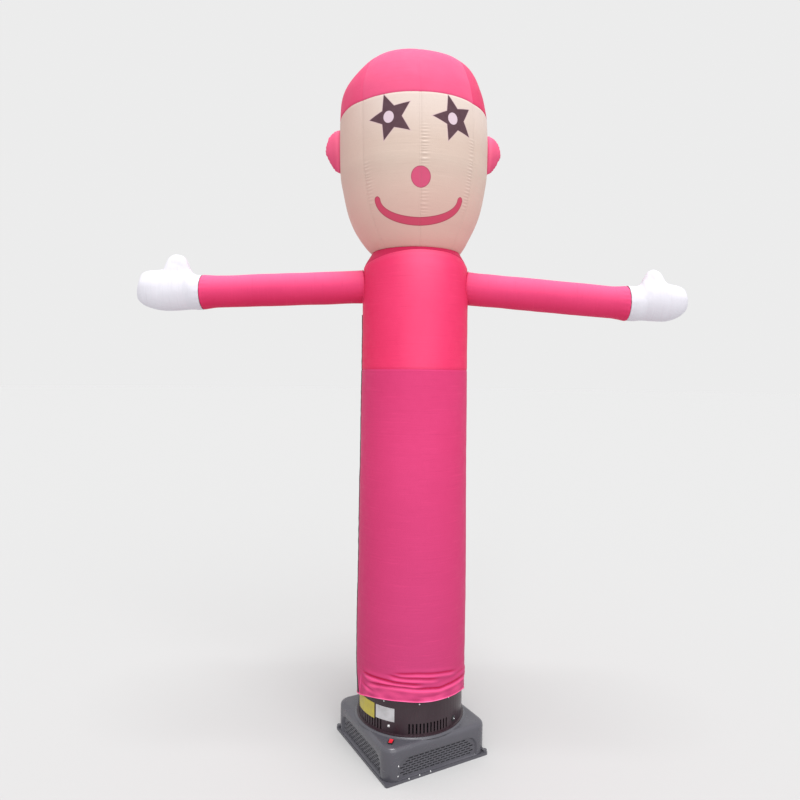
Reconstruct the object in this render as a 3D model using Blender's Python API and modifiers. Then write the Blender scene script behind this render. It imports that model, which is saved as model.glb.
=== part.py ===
"""Inflatable air dancer on its blower.

A floor-standing blower in a moulded housing feeds a round duct. The dancer's cloth tube is drawn over
the duct and carries a gored head with a cap and two ears, two arms and two mitts with thumbs.

Metres, +Z up. The origin is at the middle of the blower's underside, on the floor. The face looks
along -Y and the arms lie along X. An azimuth is in degrees around Z, 0 at the front, positive to +X.
"""

import math

import bmesh
import bpy
from mathutils import Matrix, Vector

# Cloth
CLOTH_T = 0.0015
SEAM_GAP = 0.0004
RING_STEPS = 40
FACE_AZIMUTH = 4.0
GORES = 8
GORE_SEAM_AZIMUTH = 6.8
GORE_BULGE = 0.012

# Blower
HOUSING_AZIMUTH = -15.0
HOUSING_HALF = 0.241
HOUSING_TOP = 0.142
HOUSING_WALL = 0.0045
HOUSING_CORNER_R = 0.050
HOUSING_EDGE_R = 0.016
PLATE_HALF = 0.244
PLATE_T = 0.0115
RECESS_WIDTH = 0.330
RECESS_TOP = 0.092
RECESS_DEPTH = 0.010
RECESS_CORNER_R = 0.045
LOUVRE_SLOT = (0.030, 0.007)
LOUVRE_PITCH = (0.050, 0.016)
LOUVRE_ROWS = 4
SEAT_R = 0.2325
SEAT_TOP = 0.1477
AIR_HOLE_R = 0.205
LUG_R = 0.0095
LUG_TOP = 0.021
LUG_DISTANCE = 0.3305

DUCT_R = 0.225
DUCT_WALL = 0.004
DUCT_FOOT = 0.1480
DUCT_TOP = 0.335
DUCT_STEPS = 72
DUCT_SLOT = (0.0065, 0.042)
DUCT_SLOT_Z = 0.178
DUCT_SLOT_PITCH = 3.86
DUCT_SLOTS = 12
DUCT_SLOT_GROUPS = (20.8, -53.0, -147.0, 114.0)

# Rocker switch, on the housing's front corner
SWITCH_R = 0.269
SWITCH_AZIMUTH = -16.0
SWITCH_BASE = HOUSING_TOP + 0.0003
BEZEL_SIZE = (0.021, 0.030, 0.0042)
BEZEL_HOLE = (0.0158, 0.0240)
ROCKER_WIDTH = 0.0150
ROCKER_PIVOT_Z = SWITCH_BASE + 0.0030
ROCKER_REST_TILT = 8.0

# The tube's outline: the height, outer radius and sideways place of the middle of each section.
TUBE_PROFILE = (
    {"height": 0.200, "radius": 0.2330, "middle": 0.000},
    {"height": 0.290, "radius": 0.2335, "middle": 0.001},
    {"height": 0.350, "radius": 0.2340, "middle": 0.001},
    {"height": 0.560, "radius": 0.2345, "middle": 0.002},
    {"height": 0.780, "radius": 0.2325, "middle": 0.003},
    {"height": 1.080, "radius": 0.2292, "middle": 0.003},
    {"height": 1.290, "radius": 0.2270, "middle": 0.004},
    {"height": 1.490, "radius": 0.2264, "middle": 0.004},
    {"height": 1.700, "radius": 0.2245, "middle": 0.004},
    {"height": 1.900, "radius": 0.2245, "middle": 0.004},
    {"height": 2.030, "radius": 0.2230, "middle": 0.004},
    {"height": 2.050, "radius": 0.2210, "middle": 0.004},
    {"height": 2.118, "radius": 0.1860, "middle": 0.005},
)

# Where the tube's cloth has a ring of points.
LOWER_RINGS = (0.235, 0.262, 0.288, 0.312, 0.334, 0.354, 0.374, 0.394, 0.420, 0.480, 0.620, 0.850, 1.100, 1.350, 1.620)
UPPER_RINGS = (1.620, 1.740, 1.850, 1.920, 1.980, 2.035, 2.085)
YOKE_RINGS = (2.085, 2.101, 2.118)
HEM_LEVEL = 0.235
PANEL_SEAM = 1.620
SHOULDER_SEAM = 2.085
NECK_SEAM = 2.118
CAP_SEAM = 2.664

# The head's outline: the height, outer radius and sideways place of the middle of each section.
FACE_PROFILE = (
    {"height": 2.118, "radius": 0.1860, "middle": 0.005},
    {"height": 2.150, "radius": 0.2120, "middle": 0.001},
    {"height": 2.186, "radius": 0.2345, "middle": -0.003},
    {"height": 2.230, "radius": 0.2580, "middle": -0.005},
    {"height": 2.290, "radius": 0.2800, "middle": -0.006},
    {"height": 2.365, "radius": 0.2960, "middle": -0.007},
    {"height": 2.450, "radius": 0.3090, "middle": -0.009},
    {"height": 2.560, "radius": 0.3115, "middle": -0.010},
    {"height": 2.664, "radius": 0.3085, "middle": -0.012},
)
CAP_PROFILE = (
    {"height": 2.664, "radius": 0.3085, "middle": -0.012},
    {"height": 2.735, "radius": 0.2995, "middle": -0.016},
    {"height": 2.795, "radius": 0.2810, "middle": -0.017},
    {"height": 2.845, "radius": 0.2530, "middle": -0.014},
    {"height": 2.881, "radius": 0.2120, "middle": -0.011},
    {"height": 2.903, "radius": 0.1600, "middle": -0.009},
    {"height": 2.917, "radius": 0.0960, "middle": -0.008},
    {"height": 2.922, "radius": 0.0000, "middle": -0.008},
)

# The height of the hem around the duct. It is bunched up at the front.
HEM = (
    {"azimuth": -180, "height": 0.236},
    {"azimuth": -125, "height": 0.228},
    {"azimuth": -92, "height": 0.226},
    {"azimuth": -66, "height": 0.254},
    {"azimuth": -43, "height": 0.280},
    {"azimuth": -22, "height": 0.292},
    {"azimuth": -5, "height": 0.2945},
    {"azimuth": 24, "height": 0.2905},
    {"azimuth": 52, "height": 0.287},
    {"azimuth": 68, "height": 0.278},
    {"azimuth": 80, "height": 0.262},
    {"azimuth": 92, "height": 0.246},
    {"azimuth": 130, "height": 0.236},
    {"azimuth": 180, "height": 0.236},
)

# The height of the seam along the top of the front and back panels.
SHOULDER = (
    {"azimuth": -180, "height": 2.106},
    {"azimuth": -125, "height": 2.092},
    {"azimuth": -90, "height": 2.062},
    {"azimuth": -58, "height": 2.074},
    {"azimuth": -30, "height": 2.095},
    {"azimuth": 5, "height": 2.107},
    {"azimuth": 40, "height": 2.104},
    {"azimuth": 66, "height": 2.090},
    {"azimuth": 90, "height": 2.062},
    {"azimuth": 125, "height": 2.092},
    {"azimuth": 180, "height": 2.106},
)

# Gathers that hold the hem against the duct.
GATHERS = (
    {"azimuth": -162, "half_width": 13, "depth": 0.0058},
    {"azimuth": -124, "half_width": 11, "depth": 0.0060},
    {"azimuth": -92, "half_width": 11, "depth": 0.0056},
    {"azimuth": -22, "half_width": 11, "depth": 0.0052},
    {"azimuth": 34, "half_width": 12, "depth": 0.0052},
    {"azimuth": 108, "half_width": 11, "depth": 0.0058},
    {"azimuth": 152, "half_width": 12, "depth": 0.0058},
)
GATHER_TOP = 0.335

# Long soft troughs in the slack cloth above the hem.
SLACK_FOLDS = (
    {"from_azimuth": -49, "from_height": 0.361, "to_azimuth": 5, "to_height": 0.357, "depth": 0.0042},
    {"from_azimuth": -20, "from_height": 0.387, "to_azimuth": 27, "to_height": 0.373, "depth": 0.0036},
    {"from_azimuth": 5, "from_height": 0.406, "to_azimuth": 49, "to_height": 0.379, "depth": 0.0036},
    {"from_azimuth": -47, "from_height": 0.326, "to_azimuth": 25, "to_height": 0.334, "depth": 0.0026},
    {"from_azimuth": 25, "from_height": 0.334, "to_azimuth": 75, "to_height": 0.317, "depth": 0.0026},
    {"from_azimuth": 95, "from_height": 0.350, "to_azimuth": 150, "to_height": 0.362, "depth": 0.0040},
    {"from_azimuth": 140, "from_height": 0.390, "to_azimuth": 200, "to_height": 0.376, "depth": 0.0036},
    {"from_azimuth": -150, "from_height": 0.352, "to_azimuth": -95, "to_height": 0.341, "depth": 0.0040},
)
FOLD_WIDTH = 0.014

# Lumps (+) and dents (-) of the slack cap.
CAP_LUMPS = (
    {"azimuth": -88, "height": 2.876, "spread": 0.065, "push": -0.020},
    {"azimuth": 92, "height": 2.920, "spread": 0.060, "push": -0.010},
    {"azimuth": 90, "height": 2.850, "spread": 0.060, "push": 0.006},
    {"azimuth": -20, "height": 2.860, "spread": 0.080, "push": 0.006},
    {"azimuth": 30, "height": 2.905, "spread": 0.070, "push": -0.006},
    {"azimuth": 170, "height": 2.890, "spread": 0.090, "push": -0.010},
)

# Arms: the axis height where |x| is 0.2, its fall along the arm, and the radius at fractions of its length.
ARM_ROOT_X = 0.200
ARM_STEPS = 16
ARMS = (
    {"side": "left", "sign": -1, "root_height": 1.9820, "fall": 0.0400, "wrist": 0.9075},
    {"side": "right", "sign": 1, "root_height": 1.9785, "fall": 0.0860, "wrist": 0.9005},
)
ARM_PROFILE = (
    {"along": 0.000, "radius": 0.0695},
    {"along": 0.050, "radius": 0.0692},
    {"along": 0.500, "radius": 0.0690},
    {"along": 0.900, "radius": 0.0680},
    {"along": 0.965, "radius": 0.0715},
    {"along": 1.000, "radius": 0.0740},
)

# Mitts: sections across the hand, from the wrist to the end. The thumb stands up.
HAND_STEPS = 12
HANDS = {
    "left": (
        {"out": 0.9083, "top": 2.0275, "bottom": 1.8797, "depth": 0.0739},
        {"out": 0.9450, "top": 2.0300, "bottom": 1.8800, "depth": 0.0700},
        {"out": 0.9630, "top": 2.0520, "bottom": 1.8800, "depth": 0.0660},
        {"out": 0.9780, "top": 2.0880, "bottom": 1.8785, "depth": 0.0640},
        {"out": 0.9980, "top": 2.1080, "bottom": 1.8765, "depth": 0.0660},
        {"out": 1.0275, "top": 2.1138, "bottom": 1.8745, "depth": 0.0660},
        {"out": 1.0520, "top": 2.1040, "bottom": 1.8738, "depth": 0.0660},
        {"out": 1.0680, "top": 2.0780, "bottom": 1.8737, "depth": 0.0660},
        {"out": 1.0800, "top": 2.0520, "bottom": 1.8745, "depth": 0.0640},
        {"out": 1.1050, "top": 2.0460, "bottom": 1.8780, "depth": 0.0650},
        {"out": 1.1380, "top": 2.0440, "bottom": 1.8860, "depth": 0.0600},
        {"out": 1.1640, "top": 2.0360, "bottom": 1.8970, "depth": 0.0500},
        {"out": 1.1810, "top": 2.0040, "bottom": 1.9100, "depth": 0.0350},
        {"out": 1.1930, "top": 1.9600, "bottom": 1.9240, "depth": 0.0120},
    ),
    "right": (
        {"out": 0.9013, "top": 1.9940, "bottom": 1.8464, "depth": 0.0739},
        {"out": 0.9250, "top": 1.9920, "bottom": 1.8450, "depth": 0.0730},
        {"out": 0.9450, "top": 1.9920, "bottom": 1.8465, "depth": 0.0700},
        {"out": 0.9600, "top": 2.0000, "bottom": 1.8480, "depth": 0.0660},
        {"out": 0.9740, "top": 2.0270, "bottom": 1.8480, "depth": 0.0640},
        {"out": 0.9900, "top": 2.0520, "bottom": 1.8470, "depth": 0.0660},
        {"out": 1.0125, "top": 2.0616, "bottom": 1.8455, "depth": 0.0660},
        {"out": 1.0380, "top": 2.0530, "bottom": 1.8445, "depth": 0.0660},
        {"out": 1.0530, "top": 2.0330, "bottom": 1.8441, "depth": 0.0660},
        {"out": 1.0650, "top": 2.0080, "bottom": 1.8445, "depth": 0.0640},
        {"out": 1.0870, "top": 2.0000, "bottom": 1.8490, "depth": 0.0650},
        {"out": 1.1150, "top": 1.9940, "bottom": 1.8590, "depth": 0.0600},
        {"out": 1.1370, "top": 1.9830, "bottom": 1.8740, "depth": 0.0500},
        {"out": 1.1490, "top": 1.9560, "bottom": 1.8880, "depth": 0.0350},
        {"out": 1.1545, "top": 1.9290, "bottom": 1.9050, "depth": 0.0120},
    ),
}
PALM_HEIGHT = 0.168
THUMB_DEPTH = 0.036

# Ears: half discs on the sides of the head.
EARS = (
    {"side": "left", "sign": -1, "height": 2.552, "out": 0.0600, "up": 0.089, "depth": 0.030},
    {"side": "right", "sign": 1, "height": 2.541, "out": 0.0570, "up": 0.081, "depth": 0.030},
)

# Stickers on the duct, both blank, and its screw and cap.
STICKERS = (
    {"name": "rating_plate", "from": -38.1, "to": -16.0, "low": 0.2005, "high": 0.2555},
    {"name": "side_sticker", "from": -72.0, "to": -40.3, "low": 0.1925, "high": 0.2560},
)
STICKER_T = 0.0005
DUCT_SCREW = {"azimuth": -22.3, "height": 0.180, "radius": 0.0062, "depth": 0.0030}
DUCT_CAP = {"azimuth": 53.5, "height": 0.178, "radius": 0.0125, "depth": 0.0050}

# Colour, roughness and metallic value of each material.
COLOURS = {
    "cap_cloth": ((0.900, 0.130, 0.310), 0.62, 0.0),
    "upper_cloth": ((0.880, 0.075, 0.195), 0.62, 0.0),
    "lower_cloth": ((0.680, 0.055, 0.185), 0.66, 0.0),
    "face_cloth": ((0.760, 0.600, 0.500), 0.62, 0.0),
    "mitt_cloth": ((0.880, 0.870, 0.900), 0.60, 0.0),
    "housing_plastic": ((0.075, 0.075, 0.090), 0.32, 0.0),
    "duct_plastic": ((0.055, 0.045, 0.050), 0.36, 0.0),
    "switch_red": ((0.700, 0.020, 0.050), 0.30, 0.0),
    "switch_black": ((0.015, 0.015, 0.017), 0.35, 0.0),
    "silver_foil": ((0.520, 0.510, 0.520), 0.35, 0.7),
    "yellow_vinyl": ((0.560, 0.480, 0.070), 0.40, 0.0),
    "screw_metal": ((0.850, 0.850, 0.860), 0.30, 0.8),
}


def clear_scene():
    for obj in list(bpy.data.objects):
        bpy.data.objects.remove(obj, do_unlink=True)


def collection(name):
    found = bpy.data.collections.new(name)
    bpy.context.scene.collection.children.link(found)
    return found


def material(name):
    if name in bpy.data.materials:
        return bpy.data.materials[name]
    colour, roughness, metallic = COLOURS[name]
    made = bpy.data.materials.new(name)
    made.use_nodes = True
    shader = made.node_tree.nodes["Principled BSDF"]
    shader.inputs["Base Color"].default_value = (*colour, 1.0)
    shader.inputs["Roughness"].default_value = roughness
    shader.inputs["Metallic"].default_value = metallic
    made.diffuse_color = (*colour, 1.0)
    return made


def add_object(name, mesh, where, look=None):
    obj = bpy.data.objects.new(name, mesh)
    where.objects.link(obj)
    if look:
        mesh.materials.clear()
        mesh.materials.append(material(look))
    return obj


def evaluated_mesh(obj):
    """The object's mesh with its modifiers applied. The object is removed."""
    graph = bpy.context.evaluated_depsgraph_get()
    mesh = bpy.data.meshes.new_from_object(obj.evaluated_get(graph))
    mesh.transform(obj.matrix_world)
    bpy.data.objects.remove(obj, do_unlink=True)
    return mesh


def turned(name, profile, steps, start=0.0, axis="Z"):
    """A mesh turned from a profile of (distance, height) pairs around an axis."""
    mesh = bpy.data.meshes.new(name)
    obj = bpy.data.objects.new(name, mesh)
    bpy.context.scene.collection.objects.link(obj)
    a = math.radians(start)
    if axis == "Z":
        points = [(r * math.sin(a), -r * math.cos(a), h) for r, h in profile]
    else:
        points = [(h, 0.0, r) for r, h in profile]
    mesh.from_pydata(points, [(i, i + 1) for i in range(len(points) - 1)], [])
    screw = obj.modifiers.new("Turn", "SCREW")
    screw.axis = axis
    screw.steps = steps
    screw.render_steps = steps
    screw.use_merge_vertices = True
    screw.merge_threshold = 0.0001
    return evaluated_mesh(obj)


def tidy_normals(mesh):
    bm = bmesh.new()
    bm.from_mesh(mesh)
    bmesh.ops.recalc_face_normals(bm, faces=bm.faces)
    bm.to_mesh(mesh)
    bm.free()


def face_outwards(mesh, centre):
    """Points the faces of an open skin away from its middle."""
    bm = bmesh.new()
    bm.from_mesh(mesh)
    bmesh.ops.recalc_face_normals(bm, faces=bm.faces)
    bm.normal_update()
    total = 0.0
    for face in bm.faces:
        away = face.calc_center_median() - centre(face.calc_center_median())
        total += away.dot(face.normal) * face.calc_area()
    if total < 0:
        bmesh.ops.reverse_faces(bm, faces=bm.faces)
    bm.to_mesh(mesh)
    bm.free()


def smooth(obj, angle=40.0):
    obj.data.shade_smooth()
    obj.data.set_sharp_from_angle(angle=math.radians(angle))


def thicken(obj, thickness=CLOTH_T):
    """Cloth grows inwards from its outer face."""
    solid = obj.modifiers.new("Cloth", "SOLIDIFY")
    solid.thickness = thickness
    solid.offset = -1.0
    solid.use_even_offset = False
    return solid


def cut(obj, cutter, name="Cut", operation="DIFFERENCE"):
    boolean = obj.modifiers.new(name, "BOOLEAN")
    boolean.operation = operation
    boolean.solver = "EXACT"
    boolean.object = cutter
    return boolean


def as_cutter(obj):
    obj.hide_render = True
    obj.display_type = "WIRE"
    return obj


def between(rows, key, value, position):
    """Reads a column of a table at a position, with a straight line between the rows."""
    if position <= rows[0][key]:
        return rows[0][value]
    for low, high in zip(rows, rows[1:]):
        if position <= high[key]:
            share = (position - low[key]) / (high[key] - low[key])
            return low[value] + share * (high[value] - low[value])
    return rows[-1][value]


def around(rows, value, azimuth):
    """Reads a table around the object, eased between the rows."""
    azimuth = (azimuth + 180.0) % 360.0 - 180.0
    for low, high in zip(rows, rows[1:]):
        if azimuth <= high["azimuth"]:
            share = (azimuth - low["azimuth"]) / (high["azimuth"] - low["azimuth"])
            share = share * share * (3 - 2 * share)
            return low[value] + share * (high[value] - low[value])
    return rows[-1][value]


def turn_between(a, b):
    return (a - b + 180.0) % 360.0 - 180.0


def tube_radius(height):
    return between(TUBE_PROFILE, "height", "radius", height)


def tube_middle(height):
    return between(TUBE_PROFILE, "height", "middle", height)


def tube_height(azimuth, level):
    """Where a level ring of the tube lies once the hem is bunched up and the shoulder seam is arched."""
    hem_fade = max(0.0, 1.0 - (level - HEM_LEVEL) / 0.15)
    height = level + (around(HEM, "height", azimuth) - HEM_LEVEL) * hem_fade
    rise = around(SHOULDER, "height", azimuth) - SHOULDER_SEAM
    if level <= SHOULDER_SEAM:
        fade = max(0.0, 1.0 - (SHOULDER_SEAM - level) / 0.080)
    else:
        fade = max(0.0, 1.0 - (level - SHOULDER_SEAM) / (NECK_SEAM - SHOULDER_SEAM))
    return height + rise * fade


def fold_depth(azimuth, height):
    """How far the slack folds and the hem's gathers draw the cloth in."""
    depth = 0.0
    for fold in SLACK_FOLDS:
        span = fold["to_azimuth"] - fold["from_azimuth"]
        along = turn_between(azimuth, fold["from_azimuth"]) / span
        inside = min(max(along, 0.0), 1.0)
        line = fold["from_height"] + inside * (fold["to_height"] - fold["from_height"])
        past = math.radians((along - inside) * span) * tube_radius(height)
        away = math.hypot(height - line, past * 0.6)
        ends = 0.35 + 0.65 * math.sin(math.pi * min(max(inside, 0.0), 1.0))
        depth += fold["depth"] * ends * math.exp(-((away / FOLD_WIDTH) ** 2))
    for gather in GATHERS:
        turn = abs(turn_between(azimuth, gather["azimuth"])) / gather["half_width"]
        fade = min(max((GATHER_TOP - height) / 0.080, 0.0), 1.0)
        depth += gather["depth"] * math.exp(-(turn**2)) * fade
    return depth


def tube_point(azimuth, level):
    height = tube_height(azimuth, level)
    radius = tube_radius(height) - fold_depth(azimuth, height)
    if height < DUCT_TOP + 0.012:
        radius = max(radius, DUCT_R + 0.0010 + CLOTH_T)
    a = math.radians(azimuth)
    middle = tube_middle(height)
    return Vector((middle + radius * math.sin(a), -radius * math.cos(a), height))


def gore_factor(azimuth, strength=1.0):
    turn = math.radians(azimuth - GORE_SEAM_AZIMUTH)
    return 1.0 + GORE_BULGE * strength * (abs(math.sin(turn * GORES / 2)) ** 0.8 - 0.35)


def head_point(profile, azimuth, level):
    radius = between(profile, "height", "radius", level)
    middle = between(profile, "height", "middle", level)
    strength = min(1.0, (level - NECK_SEAM) / 0.100)
    radius *= gore_factor(azimuth, strength)
    seam_fade = max(0.0, 1.0 - abs(level - CAP_SEAM) / 0.110)
    height = level + 0.010 * math.cos(math.radians(azimuth - 10.0)) * seam_fade
    a = math.radians(azimuth)
    point = Vector((middle + radius * math.sin(a), -radius * math.cos(a), height))
    if level <= CAP_SEAM:
        return point
    outward = (point - Vector((-0.012, 0.0, 2.60))).normalized()
    push = 0.0
    for lump in CAP_LUMPS:
        b = math.radians(lump["azimuth"])
        spot_radius = between(CAP_PROFILE, "height", "radius", lump["height"])
        spot_middle = between(CAP_PROFILE, "height", "middle", lump["height"])
        spot = Vector(
            (spot_middle + spot_radius * math.sin(b), -spot_radius * math.cos(b), lump["height"])
        )
        push += lump["push"] * math.exp(-((point - spot).length / lump["spread"]) ** 2)
    fade = min(1.0, (level - CAP_SEAM) / 0.080)
    return point + outward * push * fade


def skin(name, levels, radius_at, place, low_gap, high_gap):
    """A turned skin whose rings are then laid on the cloth's true surface."""
    levels = list(levels)
    levels[0] += low_gap
    levels[-1] -= high_gap
    profile = [(radius_at(level), level) for level in levels]
    mesh = turned(name, profile, RING_STEPS, GORE_SEAM_AZIMUTH)
    for vertex in mesh.vertices:
        x, y, z = vertex.co
        azimuth = math.degrees(math.atan2(x, -y)) if math.hypot(x, y) > 1e-5 else 0.0
        vertex.co = place(azimuth, z)
    face_outwards(mesh, lambda p: Vector((0.0, 0.0, min(p.z, 2.60))))
    return mesh


def arm_axis(arm, out):
    return arm["root_height"] - (out - ARM_ROOT_X) * arm["fall"]


def arm_skin(arm, extra=0.0, reach=None):
    """An arm's skin. Its root lies on the tube's curved side, or runs on inside it as a cutter."""
    profile = [(row["radius"] + extra, row["along"]) for row in ARM_PROFILE]
    if reach:
        profile = [(ARM_PROFILE[0]["radius"] + extra, 0.0), (ARM_PROFILE[0]["radius"] + extra, 1.0)]
    mesh = turned("arm", profile, ARM_STEPS, axis="X")
    for vertex in mesh.vertices:
        along, across, up = vertex.co
        if reach:
            out = reach[0] + along * (reach[1] - reach[0])
        else:
            root = math.sqrt((tube_radius(1.98) - CLOTH_T) ** 2 - across**2)
            root += arm["sign"] * tube_middle(1.98)
            out = root + along * (arm["wrist"] - root)
        vertex.co = (arm["sign"] * out, across, arm_axis(arm, out) + up)
    face_outwards(mesh, lambda p: Vector((p.x, 0.0, arm_axis(arm, abs(p.x)))))
    return mesh


def armhole_cutter(arm, where):
    mesh = arm_skin(arm, extra=SEAM_GAP, reach=(0.150, 0.300))
    bm = bmesh.new()
    bm.from_mesh(mesh)
    edges = [edge for edge in bm.edges if edge.is_boundary]
    bmesh.ops.holes_fill(bm, edges=edges)
    bmesh.ops.recalc_face_normals(bm, faces=bm.faces)
    bm.to_mesh(mesh)
    bm.free()
    return as_cutter(add_object("armhole_" + arm["side"], mesh, where))


def mitt_mesh(arm):
    """A mitt lofted through its sections. Each section is a palm oval, with the thumb's own oval above it."""
    rows = HANDS[arm["side"]]
    bm = bmesh.new()
    rings = []
    for row in rows:
        middle = (row["top"] + row["bottom"]) / 2
        half = (row["top"] - row["bottom"]) / 2
        palm_half = min(half, PALM_HEIGHT / 2)
        palm_middle = row["bottom"] + palm_half
        ring = []
        for i in range(HAND_STEPS):
            a = 2 * math.pi * i / HAND_STEPS
            up = middle + half * math.cos(a)
            palm = 1.0 - ((up - palm_middle) / palm_half) ** 2
            thumb = 1.0 - ((up - middle) / half) ** 2
            across = row["depth"] * math.sqrt(max(palm, 0.0))
            across = max(across, min(row["depth"], THUMB_DEPTH) * math.sqrt(max(thumb, 0.0)))
            across = math.copysign(across, math.sin(a)) if i % (HAND_STEPS // 2) else 0.0
            ring.append(bm.verts.new((arm["sign"] * row["out"], across, up)))
        rings.append(ring)
    for low, high in zip(rings, rings[1:]):
        for i in range(HAND_STEPS):
            j = (i + 1) % HAND_STEPS
            bm.faces.new((low[i], low[j], high[j], high[i]))
    bm.faces.new(rings[-1])
    mesh = bpy.data.meshes.new("hand_" + arm["side"])
    bm.to_mesh(mesh)
    bm.free()
    axis = arm_axis(arm, 1.05)
    face_outwards(mesh, lambda p: Vector((arm["sign"] * 1.05, 0.0, axis)))
    return mesh


def ear_mesh(ear):
    """Half of a flattened ball whose rim lies on the side of the head."""
    bm = bmesh.new()
    bmesh.ops.create_uvsphere(bm, u_segments=16, v_segments=10, radius=1.0)
    inner = [v for v in bm.verts if v.co.z < -1e-4]
    bmesh.ops.delete(bm, geom=inner, context="VERTS")
    for vertex in bm.verts:
        across, up, out = vertex.co
        y = across * ear["depth"]
        z = ear["height"] + up * ear["up"]
        azimuth = 90.0 * ear["sign"]
        for _ in range(4):
            on_head = head_point(FACE_PROFILE, azimuth, z)
            middle = between(FACE_PROFILE, "height", "middle", z)
            distance = math.hypot(on_head.x - middle, on_head.y)
            azimuth = ear["sign"] * (90.0 + math.degrees(math.asin(y / distance)))
        on_head = head_point(FACE_PROFILE, azimuth, z)
        x = on_head.x + ear["sign"] * (0.0006 + out * ear["out"])
        vertex.co = (x, y, z)
    mesh = bpy.data.meshes.new("ear_" + ear["side"])
    bm.to_mesh(mesh)
    bm.free()
    face_outwards(mesh, lambda p: Vector((ear["sign"] * 0.30, 0.0, ear["height"])))
    return mesh


def block(name, size, location, turn=0.0, bevels=()):
    """A cube primitive of this size, with the edges that each test picks rounded."""
    bm = bmesh.new()
    bmesh.ops.create_cube(bm, size=1.0)
    bmesh.ops.scale(bm, vec=size, verts=bm.verts)
    for picks, radius, segments in bevels:
        edges = [edge for edge in bm.edges if picks(edge)]
        bmesh.ops.bevel(
            bm, geom=edges, offset=radius, segments=segments, profile=0.5, affect="EDGES"
        )
    bmesh.ops.translate(bm, vec=location, verts=bm.verts)
    bmesh.ops.rotate(
        bm, cent=(0, 0, 0), matrix=Matrix.Rotation(math.radians(turn), 3, "Z"), verts=bm.verts
    )
    mesh = bpy.data.meshes.new(name)
    bm.to_mesh(mesh)
    bm.free()
    return mesh


def round_block(name, radius, low, high, steps=72, top_radius=None):
    bm = bmesh.new()
    bmesh.ops.create_cone(
        bm,
        cap_ends=True,
        segments=steps,
        radius1=radius,
        radius2=top_radius or radius,
        depth=high - low,
    )
    bmesh.ops.translate(bm, vec=(0, 0, (low + high) / 2), verts=bm.verts)
    mesh = bpy.data.meshes.new(name)
    bm.to_mesh(mesh)
    bm.free()
    return mesh


def upright(edge):
    a, b = edge.verts
    return abs(a.co.z - b.co.z) > 1e-4 and math.hypot(a.co.x - b.co.x, a.co.y - b.co.y) < 1e-5


def top_edge(edge):
    a, b = edge.verts
    top = max(v.co.z for v in edge.link_faces[0].verts)
    level = abs(a.co.z - b.co.z) < 1e-5
    return level and abs(a.co.z - top) < 1e-5 and a.co.z > 0


def build_housing(parts, cutters):
    """The moulded shell: rounded corners, a recessed louvre panel in each side and a seat for the duct."""
    turn = HOUSING_AZIMUTH + 45.0
    low = PLATE_T + 0.0003
    tall = HOUSING_TOP - low
    outer = block(
        "housing_shell",
        (2 * HOUSING_HALF, 2 * HOUSING_HALF, tall),
        (0, 0, low + tall / 2),
        turn,
        ((upright, HOUSING_CORNER_R, 4), (top_edge, HOUSING_EDGE_R, 3)),
    )
    housing = add_object("housing", outer, parts, "housing_plastic")

    seat = add_object(
        "seat", round_block("seat", SEAT_R + 0.004, 0.128, SEAT_TOP, 72, SEAT_R), cutters
    )
    cut(housing, as_cutter(seat), "Seat", "UNION")

    inner_half = HOUSING_HALF - HOUSING_WALL
    inner_top = HOUSING_TOP - HOUSING_WALL
    inner = add_object(
        "housing_inside",
        block(
            "housing_inside",
            (2 * inner_half, 2 * inner_half, inner_top - low + 0.010),
            (0, 0, (inner_top + low - 0.010) / 2),
            turn,
            ((upright, HOUSING_CORNER_R - HOUSING_WALL, 4), (top_edge, HOUSING_EDGE_R - 0.003, 2)),
        ),
        cutters,
    )
    for side in range(4):
        pad_depth = 0.030
        face = HOUSING_HALF - RECESS_DEPTH - HOUSING_WALL
        pad = block(
            "pad_%d" % side,
            (RECESS_WIDTH + 0.012, pad_depth, RECESS_TOP + 0.006 + 0.020),
            (0, -(face + pad_depth / 2), (RECESS_TOP + 0.006 - 0.020) / 2),
            turn + 90.0 * side,
        )
        cut(inner, as_cutter(add_object("pad_%d" % side, pad, cutters)), "Pad")
    cut(housing, as_cutter(inner), "Inside")

    hole = add_object("air_hole", round_block("air_hole", AIR_HOLE_R, 0.100, 0.200), cutters)
    cut(housing, as_cutter(hole), "Air hole")

    for side in range(4):
        face = HOUSING_HALF - RECESS_DEPTH
        recess = block(
            "recess_%d" % side,
            (RECESS_WIDTH, 0.040, RECESS_TOP - low - 0.004),
            (0, -(face + 0.020), (RECESS_TOP + low + 0.004) / 2),
            turn + 90.0 * side,
            (
                (
                    lambda e: abs(e.verts[0].co.y - e.verts[1].co.y) > 0.01
                    and e.verts[0].co.z > 0,
                    RECESS_CORNER_R,
                    5,
                ),
            ),
        )
        cut(housing, as_cutter(add_object("recess_%d" % side, recess, cutters)), "Recess")
        cut(housing, louvre_cutter(side, turn, low, cutters), "Louvres")
    smooth(housing, 35)
    return housing


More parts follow.
